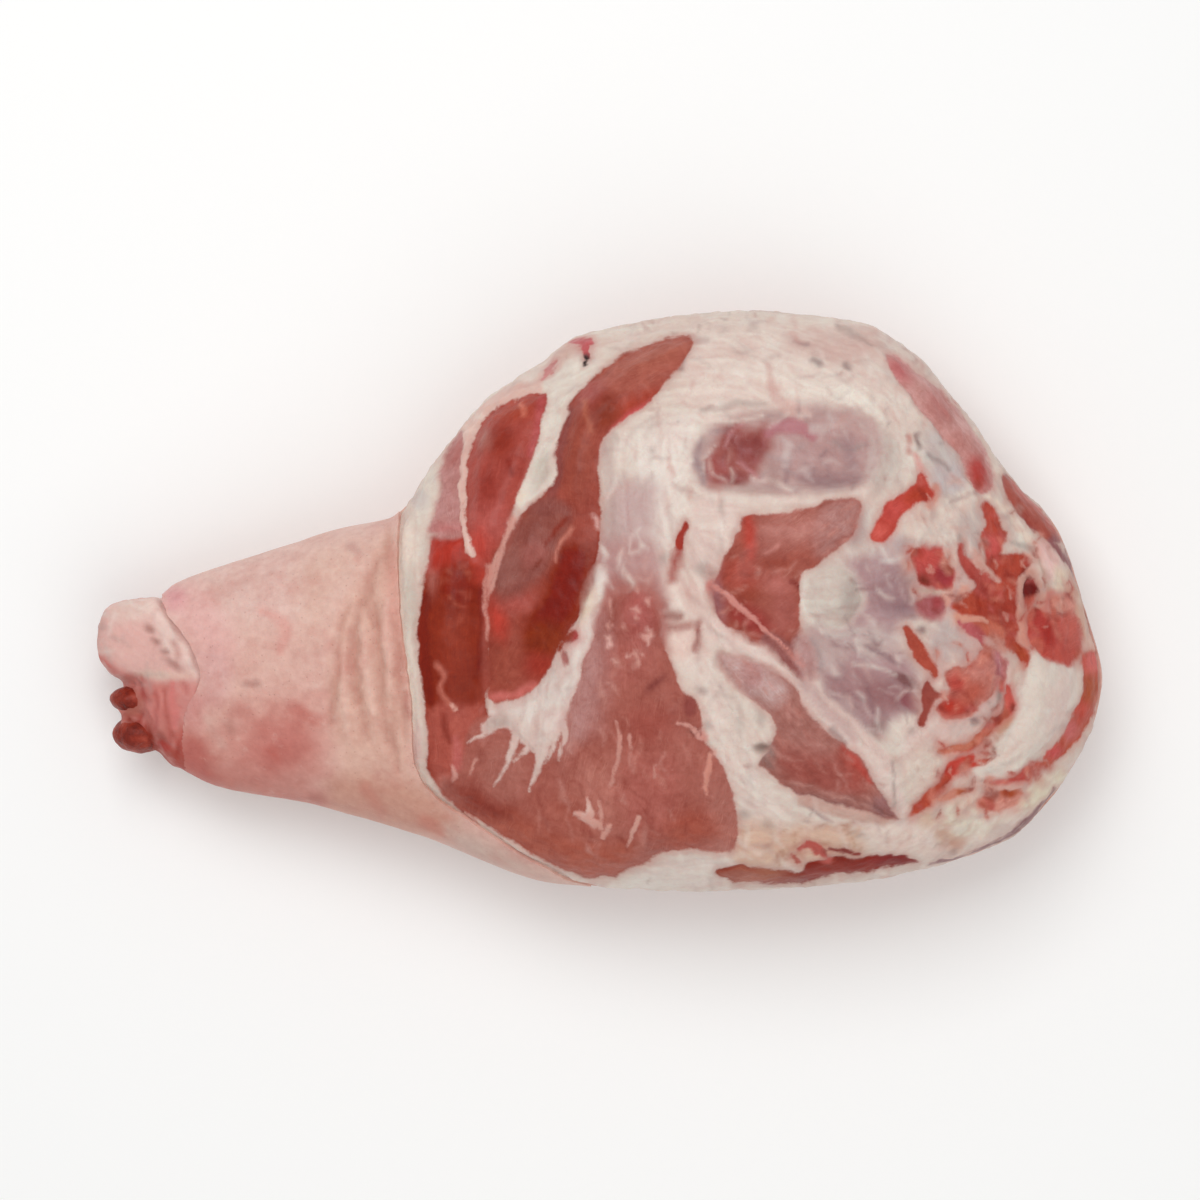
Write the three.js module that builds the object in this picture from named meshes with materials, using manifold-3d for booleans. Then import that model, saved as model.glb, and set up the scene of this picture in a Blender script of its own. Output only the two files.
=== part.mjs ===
// A raw pork leg, cut off at the hock and lying on its outer side, with the meat face up.
// Millimetres, +Z up. X runs from the hock to the butt, Y across the leg. The origin is under
// the middle of the leg, on the surface that it lies on.
import * as THREE from "three";
import { mergeVertices } from "three/addons/utils/BufferGeometryUtils.js";
import Module from "manifold-3d";

// Driving sizes
const LENGTH = 505; // heel to butt
const WIDTH = 289; // across the thickest part of the butt
const BUTT_END_X = LENGTH / 2;
const HEEL_END_X = -LENGTH / 2;
const SHANK_END_X = -231; // where the flesh of the shank stops, behind the heel
const BUTT_ROUNDING = 50; // how long the rounded butt end is
const SHANK_ROUNDING = 20;
const BUTT_END_Y = -36; // the butt's furthest point lies off the leg's middle line
const SHANK_END_Y = -36;
const SETTLE = 7; // how far the soft underside is pressed flat
const RINGS = 70; // rings from hock to butt
const SIDES = 62; // points round each ring
const BONE_GAP = 0.3; // between the ankle bone and its socket

const smooth = (from, to, v) => THREE.MathUtils.smoothstep(v, from, to);

// A smooth curve through [x, value] pairs that never overshoots them.
function profile(pairs) {
  const slope = pairs.slice(1).map(([x, v], i) => (v - pairs[i][1]) / (x - pairs[i][0]));
  const tangent = pairs.map((_, i) => {
    if (i === 0 || i === slope.length) return slope[Math.min(i, slope.length - 1)];
    const [before, after] = [slope[i - 1], slope[i]];
    return before * after <= 0 ? 0 : (2 * before * after) / (before + after);
  });
  return (x) => {
    const last = pairs.length - 2;
    const i = Math.min(last, Math.max(0, pairs.findIndex(([at]) => at > x) - 1));
    const k = x >= pairs[last + 1][0] ? last : i;
    const [x0, v0] = pairs[k];
    const [x1, v1] = pairs[k + 1];
    const h = x1 - x0;
    const t = THREE.MathUtils.clamp((x - x0) / h, 0, 1);
    return (
      v0 * (1 + 2 * t) * (1 - t) ** 2 +
      h * tangent[k] * t * (1 - t) ** 2 +
      v1 * t * t * (3 - 2 * t) +
      h * tangent[k + 1] * t * t * (t - 1)
    );
  };
}

// The two edges of the leg seen from above, before its ends are rounded.
const backEdge = profile([
  [SHANK_END_X, 1],
  [-214, 9],
  [-190, 18],
  [-167, 25],
  [-125, 38],
  [-104, 42],
  [-80, 73],
  [-55, 102],
  [-30, 118.5],
  [-10, 133],
  [70, WIDTH / 2],
  [125, 140],
  [157, 123],
  [178, 99],
  [190, 85],
  [200, 68],
  [210, 57.5],
  [230, 49],
  [240, 28],
  [BUTT_END_X, -8],
]);
const frontEdge = profile([
  [SHANK_END_X, -74],
  [-216, -82],
  [-190, -94],
  [-150, -101],
  [-92, -117],
  [-17, -142],
  [50, -WIDTH / 2],
  [120, -141],
  [183, -128],
  [208, -117],
  [233, -103],
  [BUTT_END_X, -94],
]);
// Heights above the surface: the widest line round the side, the crest of the meat face, and
// how far the underside would hang below the surface if the meat were stiff.
const widestLine = profile([
  [SHANK_END_X, 38],
  [-120, 44],
  [0, 56],
  [120, 60],
  [BUTT_END_X, 52],
]);
const crest = profile([
  [SHANK_END_X, 67],
  [-190, 76],
  [-150, 89],
  [-95, 104],
  [-50, 118],
  [10, 136],
  [80, 149],
  [130, 146],
  [170, 132],
  [210, 110],
  [BUTT_END_X, 82],
]);
const underside = profile([
  [SHANK_END_X, 12],
  [-150, 3],
  [-90, -2],
  [0, -SETTLE],
  [120, -SETTLE],
  [200, -3],
  [BUTT_END_X, 4],
]);

// Muscles, fat pads and seams of the meat face: a stretch from one point to another, its
// half width, and how far it rises or sinks.
const faceRelief = [
  { part: "calf muscle", from: [-75, 18], to: [-76, -78], half: 17, rise: 5 },
  { part: "seam behind the calf", from: [-58, 22], to: [-60, -52], half: 6, rise: -4 },
  { part: "ham-string muscle", from: [-35, 96], to: [-52, 35], half: 17, rise: 4 },
  { part: "seam under it", from: [-22, 88], to: [-36, 50], half: 8, rise: -2 },
  { part: "curved muscle, upper end", from: [42, 126], to: [4, 98], half: 17, rise: 5 },
  { part: "curved muscle, lower end", from: [-4, 92], to: [-12, 55], half: 14, rise: 4 },
  { part: "deep muscle", from: [-10, 40], to: [-38, -38], half: 22, rise: -5 },
  { part: "inner thigh muscle", from: [20, -30], to: [28, -105], half: 42, rise: 5 },
  { part: "seam beside it", from: [33, 20], to: [72, -110], half: 9, rise: -4 },
  { part: "fat pad", from: [40, 70], to: [95, 110], half: 30, rise: 3 },
  { part: "hollow in the fat", from: [72, 73], to: [122, 76], half: 15, rise: -6 },
  { part: "wedge muscle", from: [78, 10], to: [108, 32], half: 20, rise: 5 },
  { part: "head of the thigh bone", from: [114, 4], to: [116, -2], half: 14, rise: 5 },
  { part: "hollow under the bone", from: [122, -30], to: [146, -48], half: 18, rise: -6 },
  { part: "slender muscle", from: [80, -45], to: [132, -94], half: 17, rise: 4 },
  { part: "rim of the cut butt", from: [150, 62], to: [158, -110], half: 12, rise: 2 },
  { part: "cut round", from: [182, -20], to: [186, -48], half: 17, rise: 4 },
  { part: "seam round it", from: [204, -10], to: [200, -70], half: 6, rise: -3 },
  { part: "butt fat", from: [226, -42], to: [208, -80], half: 13, rise: 3 },
];

// Where the rind stops on the meat face: left of this line the shank keeps its skin.
const collarLine = profile([
  [-130, -78],
  [-100, -92],
  [-60, -96],
  [0, -100],
  [40, -103],
  [80, -120],
]);
const COLLAR_STEP = 5; // the rind and fat stand this far above the trimmed meat
const COLLAR_WIDTH = 14;

function distanceToStretch(x, y, [ax, ay], [bx, by]) {
  const line = new THREE.Line3(new THREE.Vector3(ax, ay, 0), new THREE.Vector3(bx, by, 0));
  const point = new THREE.Vector3(x, y, 0);
  return line.closestPointToPoint(point, true, new THREE.Vector3()).distanceTo(point);
}

function reliefAt(x, y) {
  const shape = faceRelief.map(
    ({ from, to, half, rise }) => rise * Math.exp(-((distanceToStretch(x, y, from, to) / half) ** 2)),
  );
  const trimmed = smooth(0, COLLAR_WIDTH, x - collarLine(y));
  return shape.reduce((sum, rise) => sum + rise, 0) - COLLAR_STEP * trimmed;
}

// How much of its full girth the leg has at x: it closes to a point at both ends.
function girthAt(x) {
  const butt = Math.max(0, x - (BUTT_END_X - BUTT_ROUNDING)) / BUTT_ROUNDING;
  const shank = Math.max(0, SHANK_END_X + SHANK_ROUNDING - x) / SHANK_ROUNDING;
  return Math.sqrt(Math.max(0, 1 - butt ** 2)) * Math.max(0, 1 - shank ** 2.6) ** (1 / 2.6);
}

// Rings are evenly spaced along the leg, and close up where its ends are rounded.
const SHANK_SHARE = 0.05; // of all the rings
const BUTT_SHARE = 0.16;

function ringX(share) {
  const left = 1 - share;
  if (share < SHANK_SHARE)
    return SHANK_END_X + SHANK_ROUNDING * (1 - Math.cos((share / SHANK_SHARE) * (Math.PI / 2)));
  if (left < BUTT_SHARE)
    return BUTT_END_X - BUTT_ROUNDING * (1 - Math.cos((left / BUTT_SHARE) * (Math.PI / 2)));
  return THREE.MathUtils.mapLinear(
    share,
    SHANK_SHARE,
    1 - BUTT_SHARE,
    SHANK_END_X + SHANK_ROUNDING,
    BUTT_END_X - BUTT_ROUNDING,
  );
}

const signedPower = (v, p) => Math.sign(v) * Math.abs(v) ** p;

function legPoint(share, angle) {
  const x = ringX(share);
  const girth = girthAt(x);
  const endY = x > 0 ? BUTT_END_Y : SHANK_END_Y;
  const back = endY + (backEdge(x) - endY) * girth;
  const front = endY + (frontEdge(x) - endY) * girth;
  const across = signedPower(Math.cos(angle), 0.9);
  const y = (back + front) / 2 + ((back - front) / 2) * across;
  const level = widestLine(x);
  const up = Math.sin(angle);
  const height = up > 0 ? crest(x) - level : level - underside(x);
  const lift = signedPower(up, 0.87);
  const faces = smooth(0.15, 0.75, up);
  return new THREE.Vector3(x, y, level + height * girth * lift + faces * girth * reliefAt(x, y));
}

const wasm = await Module();
wasm.setup();

function solidFrom(geometry) {
  geometry.deleteAttribute("normal");
  geometry.deleteAttribute("uv");
  const merged = mergeVertices(geometry, 1e-3);
  return new wasm.Manifold(
    new wasm.Mesh({
      numProp: 3,
      vertProperties: merged.attributes.position.array,
      triVerts: new Uint32Array(merged.index.array),
    }),
  );
}

function geometryFrom(solid) {
  const { numProp, numVert, vertProperties, triVerts } = solid.getMesh();
  const position = new Float32Array(numVert * 3);
  for (let i = 0; i < numVert; i++)
    position.set(vertProperties.subarray(i * numProp, i * numProp + 3), i * 3);
  const geometry = new THREE.BufferGeometry();
  geometry.setAttribute("position", new THREE.BufferAttribute(position, 3));
  geometry.setIndex(new THREE.BufferAttribute(triVerts, 1));
  geometry.computeVertexNormals();
  return geometry;
}

// The flesh and rind from the shank to the butt.
function thighAndShank() {
  const geometry = new THREE.SphereGeometry(1, SIDES, RINGS);
  const { position, uv } = geometry.attributes;
  for (let i = 0; i < position.count; i++) {
    const point = legPoint(1 - uv.getY(i), -2 * Math.PI * uv.getX(i));
    position.setXYZ(i, point.x, point.y, point.z);
  }
  return solidFrom(geometry);
}

// A ball stretched to the given half sizes, squared off a little, and turned in the plane.
function lump({ at, half, turn = 0, square = 0.85, detail = 20 }) {
  const geometry = new THREE.SphereGeometry(1, detail, Math.round(detail * 0.7));
  const { position } = geometry.attributes;
  for (let i = 0; i < position.count; i++)
    position.setXYZ(
      i,
      half[0] * signedPower(position.getX(i), square),
      half[1] * signedPower(position.getY(i), square),
      half[2] * signedPower(position.getZ(i), square),
    );
  geometry.rotateZ(THREE.MathUtils.degToRad(turn));
  geometry.translate(...at);
  return solidFrom(geometry);
}

// The heel: its skin is cut away, so it stands a little below the rind behind it.
const heelLump = { at: [HEEL_END_X + 40, -19, 42], half: [40, 21.4, 22], turn: 1, square: 0.58 };

// The ankle bone shows as two round knuckles past the flesh, with a groove between them.
const KNUCKLE_X = -232;
const smallKnuckle = { at: [KNUCKLE_X, -49.5, 42], half: [13.5, 6.5, 11], detail: 16 };
const largeKnuckle = { at: [KNUCKLE_X + 1, -67, 40], half: [13.5, 8.7, 13], detail: 18 };
const boneNeck = { at: [-218, -59, 40], half: [18, 14, 9.5], detail: 16 };

function ankleBone(grow = 0) {
  const grown = (knob) => lump({ ...knob, half: knob.half.map((size) => size + grow) });
  return grown(smallKnuckle).add(grown(largeKnuckle)).add(grown(boneNeck));
}

function leg() {
  const surface = new THREE.BoxGeometry(2 * LENGTH, 2 * WIDTH, WIDTH);
  surface.translate(0, 0, -WIDTH / 2);
  return thighAndShank()
    .add(lump(heelLump))
    .subtract(ankleBone(BONE_GAP))
    .subtract(solidFrom(surface.toNonIndexed()));
}

const legMaterial = new THREE.MeshStandardMaterial({ color: 0xb07468, roughness: 0.55, metalness: 0 });
const boneMaterial = new THREE.MeshStandardMaterial({ color: 0x87352a, roughness: 0.45, metalness: 0 });

function named(name, solid, material) {
  const mesh = new THREE.Mesh(geometryFrom(solid), material);
  mesh.name = name;
  return mesh;
}

const porkLeg = new THREE.Group();
porkLeg.add(named("leg", leg(), legMaterial));
porkLeg.add(named("ankle_bone", ankleBone(), boneMaterial));

// The origin goes under the middle of the whole leg.
const bounds = new THREE.Box3().setFromObject(porkLeg, true);
const middle = bounds.getCenter(new THREE.Vector3());
porkLeg.position.set(-middle.x, -middle.y, -bounds.min.z);

export default porkLeg;
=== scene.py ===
import math

import bpy
import numpy as np
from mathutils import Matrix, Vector, noise


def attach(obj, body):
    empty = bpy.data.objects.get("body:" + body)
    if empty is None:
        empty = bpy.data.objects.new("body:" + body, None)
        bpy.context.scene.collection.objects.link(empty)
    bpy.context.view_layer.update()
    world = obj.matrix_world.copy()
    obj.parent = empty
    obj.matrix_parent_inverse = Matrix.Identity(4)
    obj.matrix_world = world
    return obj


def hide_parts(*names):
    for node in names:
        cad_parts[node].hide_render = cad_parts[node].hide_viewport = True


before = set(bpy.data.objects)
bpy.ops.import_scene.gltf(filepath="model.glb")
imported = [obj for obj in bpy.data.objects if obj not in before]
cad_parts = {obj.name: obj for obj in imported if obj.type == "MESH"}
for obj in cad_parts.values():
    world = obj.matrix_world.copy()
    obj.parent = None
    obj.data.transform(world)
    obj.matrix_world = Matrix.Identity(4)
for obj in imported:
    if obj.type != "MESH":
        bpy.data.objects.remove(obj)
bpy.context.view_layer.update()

print("frame loaded")

# The camera looks straight down. Everything on the meat face is placed on a plan: 1200 units
# each way, half a millimetre a unit, as it is seen from the camera. u runs right, v runs down.
camera = {
    "distance": 2.0,  # above the leg's widest line, in metres
    "lens": 120.0,
    "widestLine": 0.056,
    "middle": (0.0005, 0.0005),
    "planUnit": 0.5,  # mm
}


def addCamera():
    bpy.ops.object.select_all(action="DESELECT")
    height = camera["widestLine"] + camera["distance"]
    bpy.ops.object.camera_add(location=(*camera["middle"], height), rotation=(0, 0, 0))
    eye = bpy.context.object
    eye.name = "overheadCamera"
    eye.data.lens = camera["lens"]
    eye.data.sensor_width = 36.0
    eye.data.clip_end = 50.0
    bpy.context.scene.camera = eye


addCamera()


def linearColour(code):  # an sRGB hex colour as linear light
    parts = [int(code[i : i + 2], 16) / 255 for i in (0, 2, 4)]
    return np.array([p / 12.92 if p <= 0.04045 else ((p + 0.055) / 1.055) ** 2.4 for p in parts])


def colourSocket(code):
    return (*linearColour(code), 1.0)


def node(tree, kind, settings, out=0):  # adds a node; a setting that is a socket is linked
    made = tree.nodes.new("ShaderNode" + kind)
    for key, value in settings.items():
        if isinstance(value, bpy.types.NodeSocket):
            tree.links.new(value, made.inputs[key])
        elif isinstance(key, str) and hasattr(made, key):
            setattr(made, key, value)
        else:
            made.inputs[key].default_value = value
    return made.outputs[out] if made.outputs else made


def smoothStep(low, high, x):
    t = np.clip((x - low) / (high - low), 0, 1)
    return t * t * (3 - 2 * t)


# Mesh helpers: positions go in and out of a mesh as arrays, in millimetres


def pointsOf(mesh):
    spots = np.empty(len(mesh.vertices) * 3, np.float32)
    mesh.vertices.foreach_get("co", spots)
    return spots.reshape(-1, 3).astype(float) * 1000


def normalsOf(mesh):
    out = np.empty(len(mesh.vertices) * 3, np.float32)
    mesh.vertex_normals.foreach_get("vector", out)
    return out.reshape(-1, 3).astype(float)


def evened(mesh, values, rounds):  # each point's value shared with its neighbours
    ends = np.empty(len(mesh.edges) * 2, np.int32)
    mesh.edges.foreach_get("vertices", ends)
    a, b = ends.reshape(-1, 2).T
    count = len(values)
    weight = 1 + np.bincount(a, minlength=count) + np.bincount(b, minlength=count)
    for _ in range(rounds):
        sums = [
            column + np.bincount(a, column[b], count) + np.bincount(b, column[a], count)
            for column in values.T
        ]
        values = np.array(sums).T / weight[:, None]
    return values


def setPoints(mesh, spots):
    mesh.vertices.foreach_set("co", (spots / 1000).astype(np.float32).ravel())
    mesh.update()


def storeNumber(mesh, name, values):
    data = mesh.attributes.new(name, "FLOAT", "POINT").data
    data.foreach_set("value", values.astype(np.float32))


def storeVector(mesh, name, values):
    data = mesh.attributes.new(name, "FLOAT_VECTOR", "POINT").data
    data.foreach_set("vector", values.astype(np.float32).ravel())


def storeColour(mesh, name, values):
    data = mesh.attributes.new(name, "FLOAT_COLOR", "POINT").data
    full = np.ones((len(values), 4), np.float32)
    full[:, :3] = values
    data.foreach_set("color", full.ravel())


def applyModifier(piece, kind, **settings):
    bpy.context.view_layer.objects.active = piece
    made = piece.modifiers.new(kind.title(), kind)
    for key, value in settings.items():
        setattr(made, key, value)
    bpy.ops.object.modifier_apply(modifier=made.name)


def selectOnly(*objects):
    bpy.ops.object.select_all(action="DESELECT")
    for thing in objects:
        thing.select_set(True)
    bpy.context.view_layer.objects.active = objects[0]


def pickFaces(piece, chosen):
    mesh = piece.data
    mesh.vertices.foreach_set("select", np.zeros(len(mesh.vertices), bool))
    mesh.edges.foreach_set("select", np.zeros(len(mesh.edges), bool))
    mesh.polygons.foreach_set("select", chosen)


def unevenness(spots, size, seed):  # smooth noise between about -1 and 1
    shift = Vector((seed, seed * 1.7, -seed))
    scaled = (spots / size).tolist()
    return np.array([noise.fractal(Vector(p) + shift, 1.0, 2.0, 3) for p in scaled])


# Shapes on the plan. Each gives how deep a point lies inside it, in millimetres.


def planOf(spots):
    rise = spots[:, 2] / 1000 - camera["widestLine"]
    spread = camera["distance"] / (camera["distance"] - rise)
    middleX, middleY = (m * 1000 for m in camera["middle"])
    u = 600 + (spots[:, 0] - middleX) * spread / camera["planUnit"]
    v = 600 - (spots[:, 1] - middleY) * spread / camera["planUnit"]
    return u, v


def roundThrough(points, closed):  # a smooth curve through a few points
    p = np.array(points, float)
    if closed:
        p = np.vstack([p[-1:], p, p[:2]])
    else:
        p = np.vstack([2 * p[0] - p[1], p, 2 * p[-1] - p[-2]])
    t = np.linspace(0, 1, 5, endpoint=False)[:, None]
    line = [
        b + 0.5 * t * (c - a + t * (2 * a - 5 * b + 4 * c - d + t * (3 * (b - c) + d - a)))
        for a, b, c, d in zip(p, p[1:], p[2:], p[3:])
    ]
    return np.vstack(line + [p[1:2] if closed else p[-2:-1]])


def measureTo(u, v, line):  # distance from a line, way along it, side of it, its length
    best, along, side = np.full(u.shape, 1e9), np.zeros(u.shape), np.zeros(u.shape)
    walked = 0.0
    for (au, av), (bu, bv) in zip(line, line[1:]):
        du, dv = bu - au, bv - av
        size = max(math.hypot(du, dv), 1e-6)
        t = np.clip(((u - au) * du + (v - av) * dv) / size**2, 0, 1)
        offU, offV = u - au - t * du, v - av - t * dv
        away = np.hypot(offU, offV)
        near = away < best
        best[near], along[near] = away[near], walked + t[near] * size
        side[near] = ((du * offV - dv * offU) / size)[near]
        walked += size
    return best, along / walked, side, walked


farOut = 40.0  # how far out a shape is measured, in plan units


def nearTo(line, reach):
    low, high = line.min(0) - reach, line.max(0) + reach
    across = (face["u"] > low[0]) & (face["u"] < high[0])
    return across & (face["v"] > low[1]) & (face["v"] < high[1]) & face["seen"]


def blob(*points):
    ring = roundThrough(points, True)
    near = nearTo(ring, farOut)
    u, v = face["u"][near], face["v"][near]
    inside = np.zeros(u.shape, bool)
    for (au, av), (bu, bv) in zip(ring, ring[1:]):
        if av != bv:
            inside ^= ((av > v) != (bv > v)) & (u < au + (bu - au) * (v - av) / (bv - av))
    away = measureTo(u, v, ring)[0]
    depth = np.full(face["u"].shape, -farOut)
    depth[near] = np.where(inside, away, -away)
    return depth * camera["planUnit"]


def stroke(widths, *points):
    line = roundThrough(points, False)
    near = nearTo(line, max(widths) / 2 + farOut)
    away, along, _, _ = measureTo(face["u"][near], face["v"][near], line)
    half = np.interp(along, np.linspace(0, 1, len(widths)), widths) / 2
    depth = np.full(face["u"].shape, -farOut)
    depth[near] = half - away
    return depth * camera["planUnit"]


def oval(centre, radii, turn=0.0):
    c, s = math.cos(math.radians(turn)), math.sin(math.radians(turn))
    du, dv = face["u"] - centre[0], face["v"] - centre[1]
    a, b = (du * c + dv * s) / radii[0], (dv * c - du * s) / radii[1]
    depth = np.maximum((1 - np.hypot(a, b)) * min(radii), -farOut)
    return np.where(face["seen"], depth, -farOut) * camera["planUnit"]


# Painting the tissues: each call lays one over what is there


def tint(layer, depth, colour, edge=2.0, strength=1.0):
    weight = (smoothStep(-edge, edge, depth) * strength)[:, None]
    face[layer] = face[layer] * (1 - weight) + linearColour(colour) * weight


def soften(depth, blur):
    near = smoothStep(-7, -3, depth)
    face["blur"] = face["blur"] * (1 - near) + blur * near


def lean(depth, colour, rise=0.0, dome=6.0, fibres=None, blur=None, halo=0.3):
    face["lean"] = np.maximum(face["lean"], depth)
    tint("fatTone", depth + 2, colour, 3.5, halo)
    tint("leanTone", depth + 2.5, colour, 1.5)
    face["rise"] += rise * smoothStep(0, dome, depth)
    if blur:
        soften(depth, blur)
    if fibres:
        layFibres(depth > -3, fibres)


def fat(depth, colour, rise=0.0, dome=4.0, blur=None):
    face["lean"] = np.minimum(face["lean"], -depth)
    tint("fatTone", depth + 2.0, colour, 1.5)
    face["rise"] += rise * smoothStep(0, dome, depth)
    if blur:
        soften(depth, blur)


def silverSkin(depth, amount):
    face["film"] = np.maximum(face["film"], smoothStep(-2, 4, depth) * amount)


def layFibres(chosen, points):
    line = roundThrough(points, False)
    _, along, side, length = measureTo(face["u"][chosen], face["v"][chosen], line)
    face["bundle"] += 1
    face["grain"][chosen, 0] = along * length * camera["planUnit"]
    face["grain"][chosen, 1] = side * camera["planUnit"]
    face["grain"][chosen, 2] = face["bundle"] * 17.3


# Streaks in the fat: grains of noise smeared along the way the fat is drawn out
smears = {
    "layers": ((2.2, 16, 0.35), (4.5, 34, 0.4), (11.0, 60, 0.25)),  # grain, reach and share
    "evenOver": 20.0,  # how near a guide its pull stops growing
    "planSize": 1300,
    "seed": 5,
}


def smearNoise(guides):
    u, v = face["u"], face["v"]
    cosine, sine = np.zeros(u.shape), np.zeros(u.shape)
    even = smears["evenOver"] ** 2
    for points in guides:
        line = roundThrough(points, False)
        for (au, av), (bu, bv) in zip(line, line[1:]):
            turn = 2 * math.atan2(bv - av, bu - au)
            pull = math.hypot(bu - au, bv - av) / ((u - au) ** 2 + (v - av) ** 2 + even) ** 1.5
            cosine += pull * math.cos(turn)
            sine += pull * math.sin(turn)
    turn = np.arctan2(sine, cosine) / 2
    c, s = np.cos(turn), np.sin(turn)
    draw = np.random.default_rng(smears["seed"])
    mixed = np.zeros(u.shape)
    for size, reach, share in smears["layers"]:
        cells = int(smears["planSize"] / size)
        grains = draw.normal(size=(cells, cells))
        total = np.zeros(u.shape)
        for step in np.linspace(-1, 1, 2 * int(reach / size) + 1):
            across = np.clip((u + step * reach * c) / size, 0, cells - 2)
            down = np.clip((v + step * reach * s) / size, 0, cells - 2)
            i, j = down.astype(int), across.astype(int)
            y, x = down - i, across - j
            total += (grains[i, j] * (1 - x) + grains[i, j + 1] * x) * (1 - y)
            total += (grains[i + 1, j] * (1 - x) + grains[i + 1, j + 1] * x) * y
        mixed += share * total / total.std()
    return mixed / mixed.std()


def lay(kind, depth, colour, **how):
    if kind in ("lean", "fat"):
        (lean if kind == "lean" else fat)(depth, colour, **how)
    else:
        tint(kind, depth, colour, **how)


def streaks(kind, *rows, **how):
    for colour, widths, *points in rows:
        lay(kind, stroke(widths, *points), colour, **how)


def spots(kind, *rows, **how):
    for colour, centre, radii, turn in rows:
        lay(kind, oval(centre, radii, turn), colour, **how)


def patches(layer, *rows, **how):
    for colour, edge, *points in rows:
        tint(layer, blob(*points), colour, edge, **how)


def scatter(kind, area, colours, count, seed, angle, spread, length, width, **how):
    draw = np.random.default_rng(seed)
    inside = np.flatnonzero(area)
    for _ in range(count):
        at = inside[draw.integers(len(inside))]
        turn = math.radians(angle + draw.normal() * spread)
        half = draw.uniform(0.4, 1.0) * length / 2
        bend = draw.normal() * half * 0.25
        u, v, c, s = face["u"][at], face["v"][at], math.cos(turn), math.sin(turn)
        line = ((u - half * c, v - half * s), (u - bend * s, v + bend * c), (u + half * c, v + half * s))
        wide = width * draw.uniform(0.6, 1.3)
        lay(
            kind, stroke((wide * 0.4, wide, wide * 0.3), *line), colours[draw.integers(len(colours))],
            **how,
        )


# The body of the leg: the CAD solid with its bone socket filled, remeshed for soft relief
leg = {
    "meshSize": 2.8,  # mm between points, halved on the side that shows
    "fatTone": "dacabf",
    "leanTone": "a35b50",
    "rindTone": "dbafa3",
    "fineAbove": (34.0, 0.045),  # height in mm at the hock, and how it climbs to the butt
    "smoothRounds": (5, 4),  # before and after the side that shows is made finer
    "evenRounds": 12,  # for the slopes that fold the plan down the sides
    "seenSlope": -0.5,
    "edgeBlur": 0.8,  # mm over which lean turns to fat
    "wander": (2.6, 9.0),  # how far, in plan units, and over how many mm, the outlines wander
    "sideTurn": (0.2, 50.0),  # below this slope the plan is folded down the side, so far
    "widest": ((-230, 38), (-120, 44), (0, 56), (120, 60), (252, 52)),  # the widest line: x and z
    "keptShare": 0.735,  # of the triangles, once those that the rind hides are thinned
    "glossVeil": 0.0105,  # what the sky's reflection adds to every colour
    "darkest": 0.0015,
}
layers = ("leanTone", "fatTone", "rindTone")


def copyNode(name):
    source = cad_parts[name]
    piece = source.copy()
    piece.data = source.data.copy()
    piece.name = name + "Copy"
    piece.parent = None
    piece.matrix_world.identity()
    bpy.context.collection.objects.link(piece)
    for key in [key for key in piece.keys() if key.startswith("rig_")]:
        del piece[key]
    selectOnly(piece)
    bpy.ops.object.mode_set(mode="EDIT")
    bpy.ops.mesh.select_all(action="SELECT")
    bpy.ops.mesh.remove_doubles(threshold=0.00001)
    bpy.ops.object.mode_set(mode="OBJECT")
    piece.data.materials.clear()
    return piece


def makeBody():
    flesh, bone = copyNode("leg"), copyNode("ankle_bone")
    selectOnly(flesh, bone)
    bpy.ops.object.join()
    flesh.name = flesh.data.name = "leg_meat"
    voxel = leg["meshSize"] / 1000
    first, second = leg["smoothRounds"]
    applyModifier(flesh, "REMESH", mode="VOXEL", voxel_size=voxel, use_smooth_shade=True)
    applyModifier(flesh, "SMOOTH", factor=0.5, iterations=first)
    mesh = flesh.data
    centres = np.empty(len(mesh.polygons) * 3, np.float32)
    mesh.polygons.foreach_get("center", centres)
    centres = centres.reshape(-1, 3) * 1000
    low, climb = leg["fineAbove"]
    pickFaces(flesh, centres[:, 2] > low + climb * (centres[:, 0] + 250))
    bpy.ops.object.mode_set(mode="EDIT")
    bpy.ops.mesh.select_mode(type="FACE")
    bpy.ops.mesh.subdivide(number_cuts=1, smoothness=0.0)
    bpy.ops.mesh.select_all(action="SELECT")
    bpy.ops.mesh.quads_convert_to_tris(quad_method="SHORTEST_DIAGONAL")
    bpy.ops.object.mode_set(mode="OBJECT")
    applyModifier(flesh, "SMOOTH", factor=0.5, iterations=second)
    return flesh


body = makeBody()
co = pointsOf(body.data)
normals = normalsOf(body.data)


def heightOfWidest():
    return np.interp(co[:, 0], *np.array(leg["widest"]).T)


def startFace():
    u, v = planOf(co)
    even = evened(body.data, normals, leg["evenRounds"])
    aside = even[:, :2] / np.maximum(np.linalg.norm(even[:, :2], axis=1), 0.01)[:, None]
    level, reach = leg["sideTurn"]
    drop = np.maximum(heightOfWidest() - co[:, 2], 0)
    out = reach * np.maximum(level - even[:, 2], 0) + drop / camera["planUnit"]
    u, v = u + out * aside[:, 0], v - out * aside[:, 1]
    far, size = leg["wander"]
    count = len(co)
    tones = {layer: np.tile(linearColour(leg[layer]), (count, 1)) for layer in layers}
    return {
        "u": u + far * unevenness(co, size, 21.0),
        "v": v + far * unevenness(co, size, 34.0),
        "seen": even[:, 2] > leg["seenSlope"],
        "lean": np.full(count, -20.0),
        "rise": np.zeros(count),
        "fold": np.zeros(count),
        "blur": np.full(count, leg["edgeBlur"]),
        "film": np.zeros(count),
        "grain": np.zeros((count, 3)),
        "bundle": 0,
        "streak": np.zeros(count),
        **tones,
    }


face = startFace()
print("body remeshed:", len(co), "points")

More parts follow.
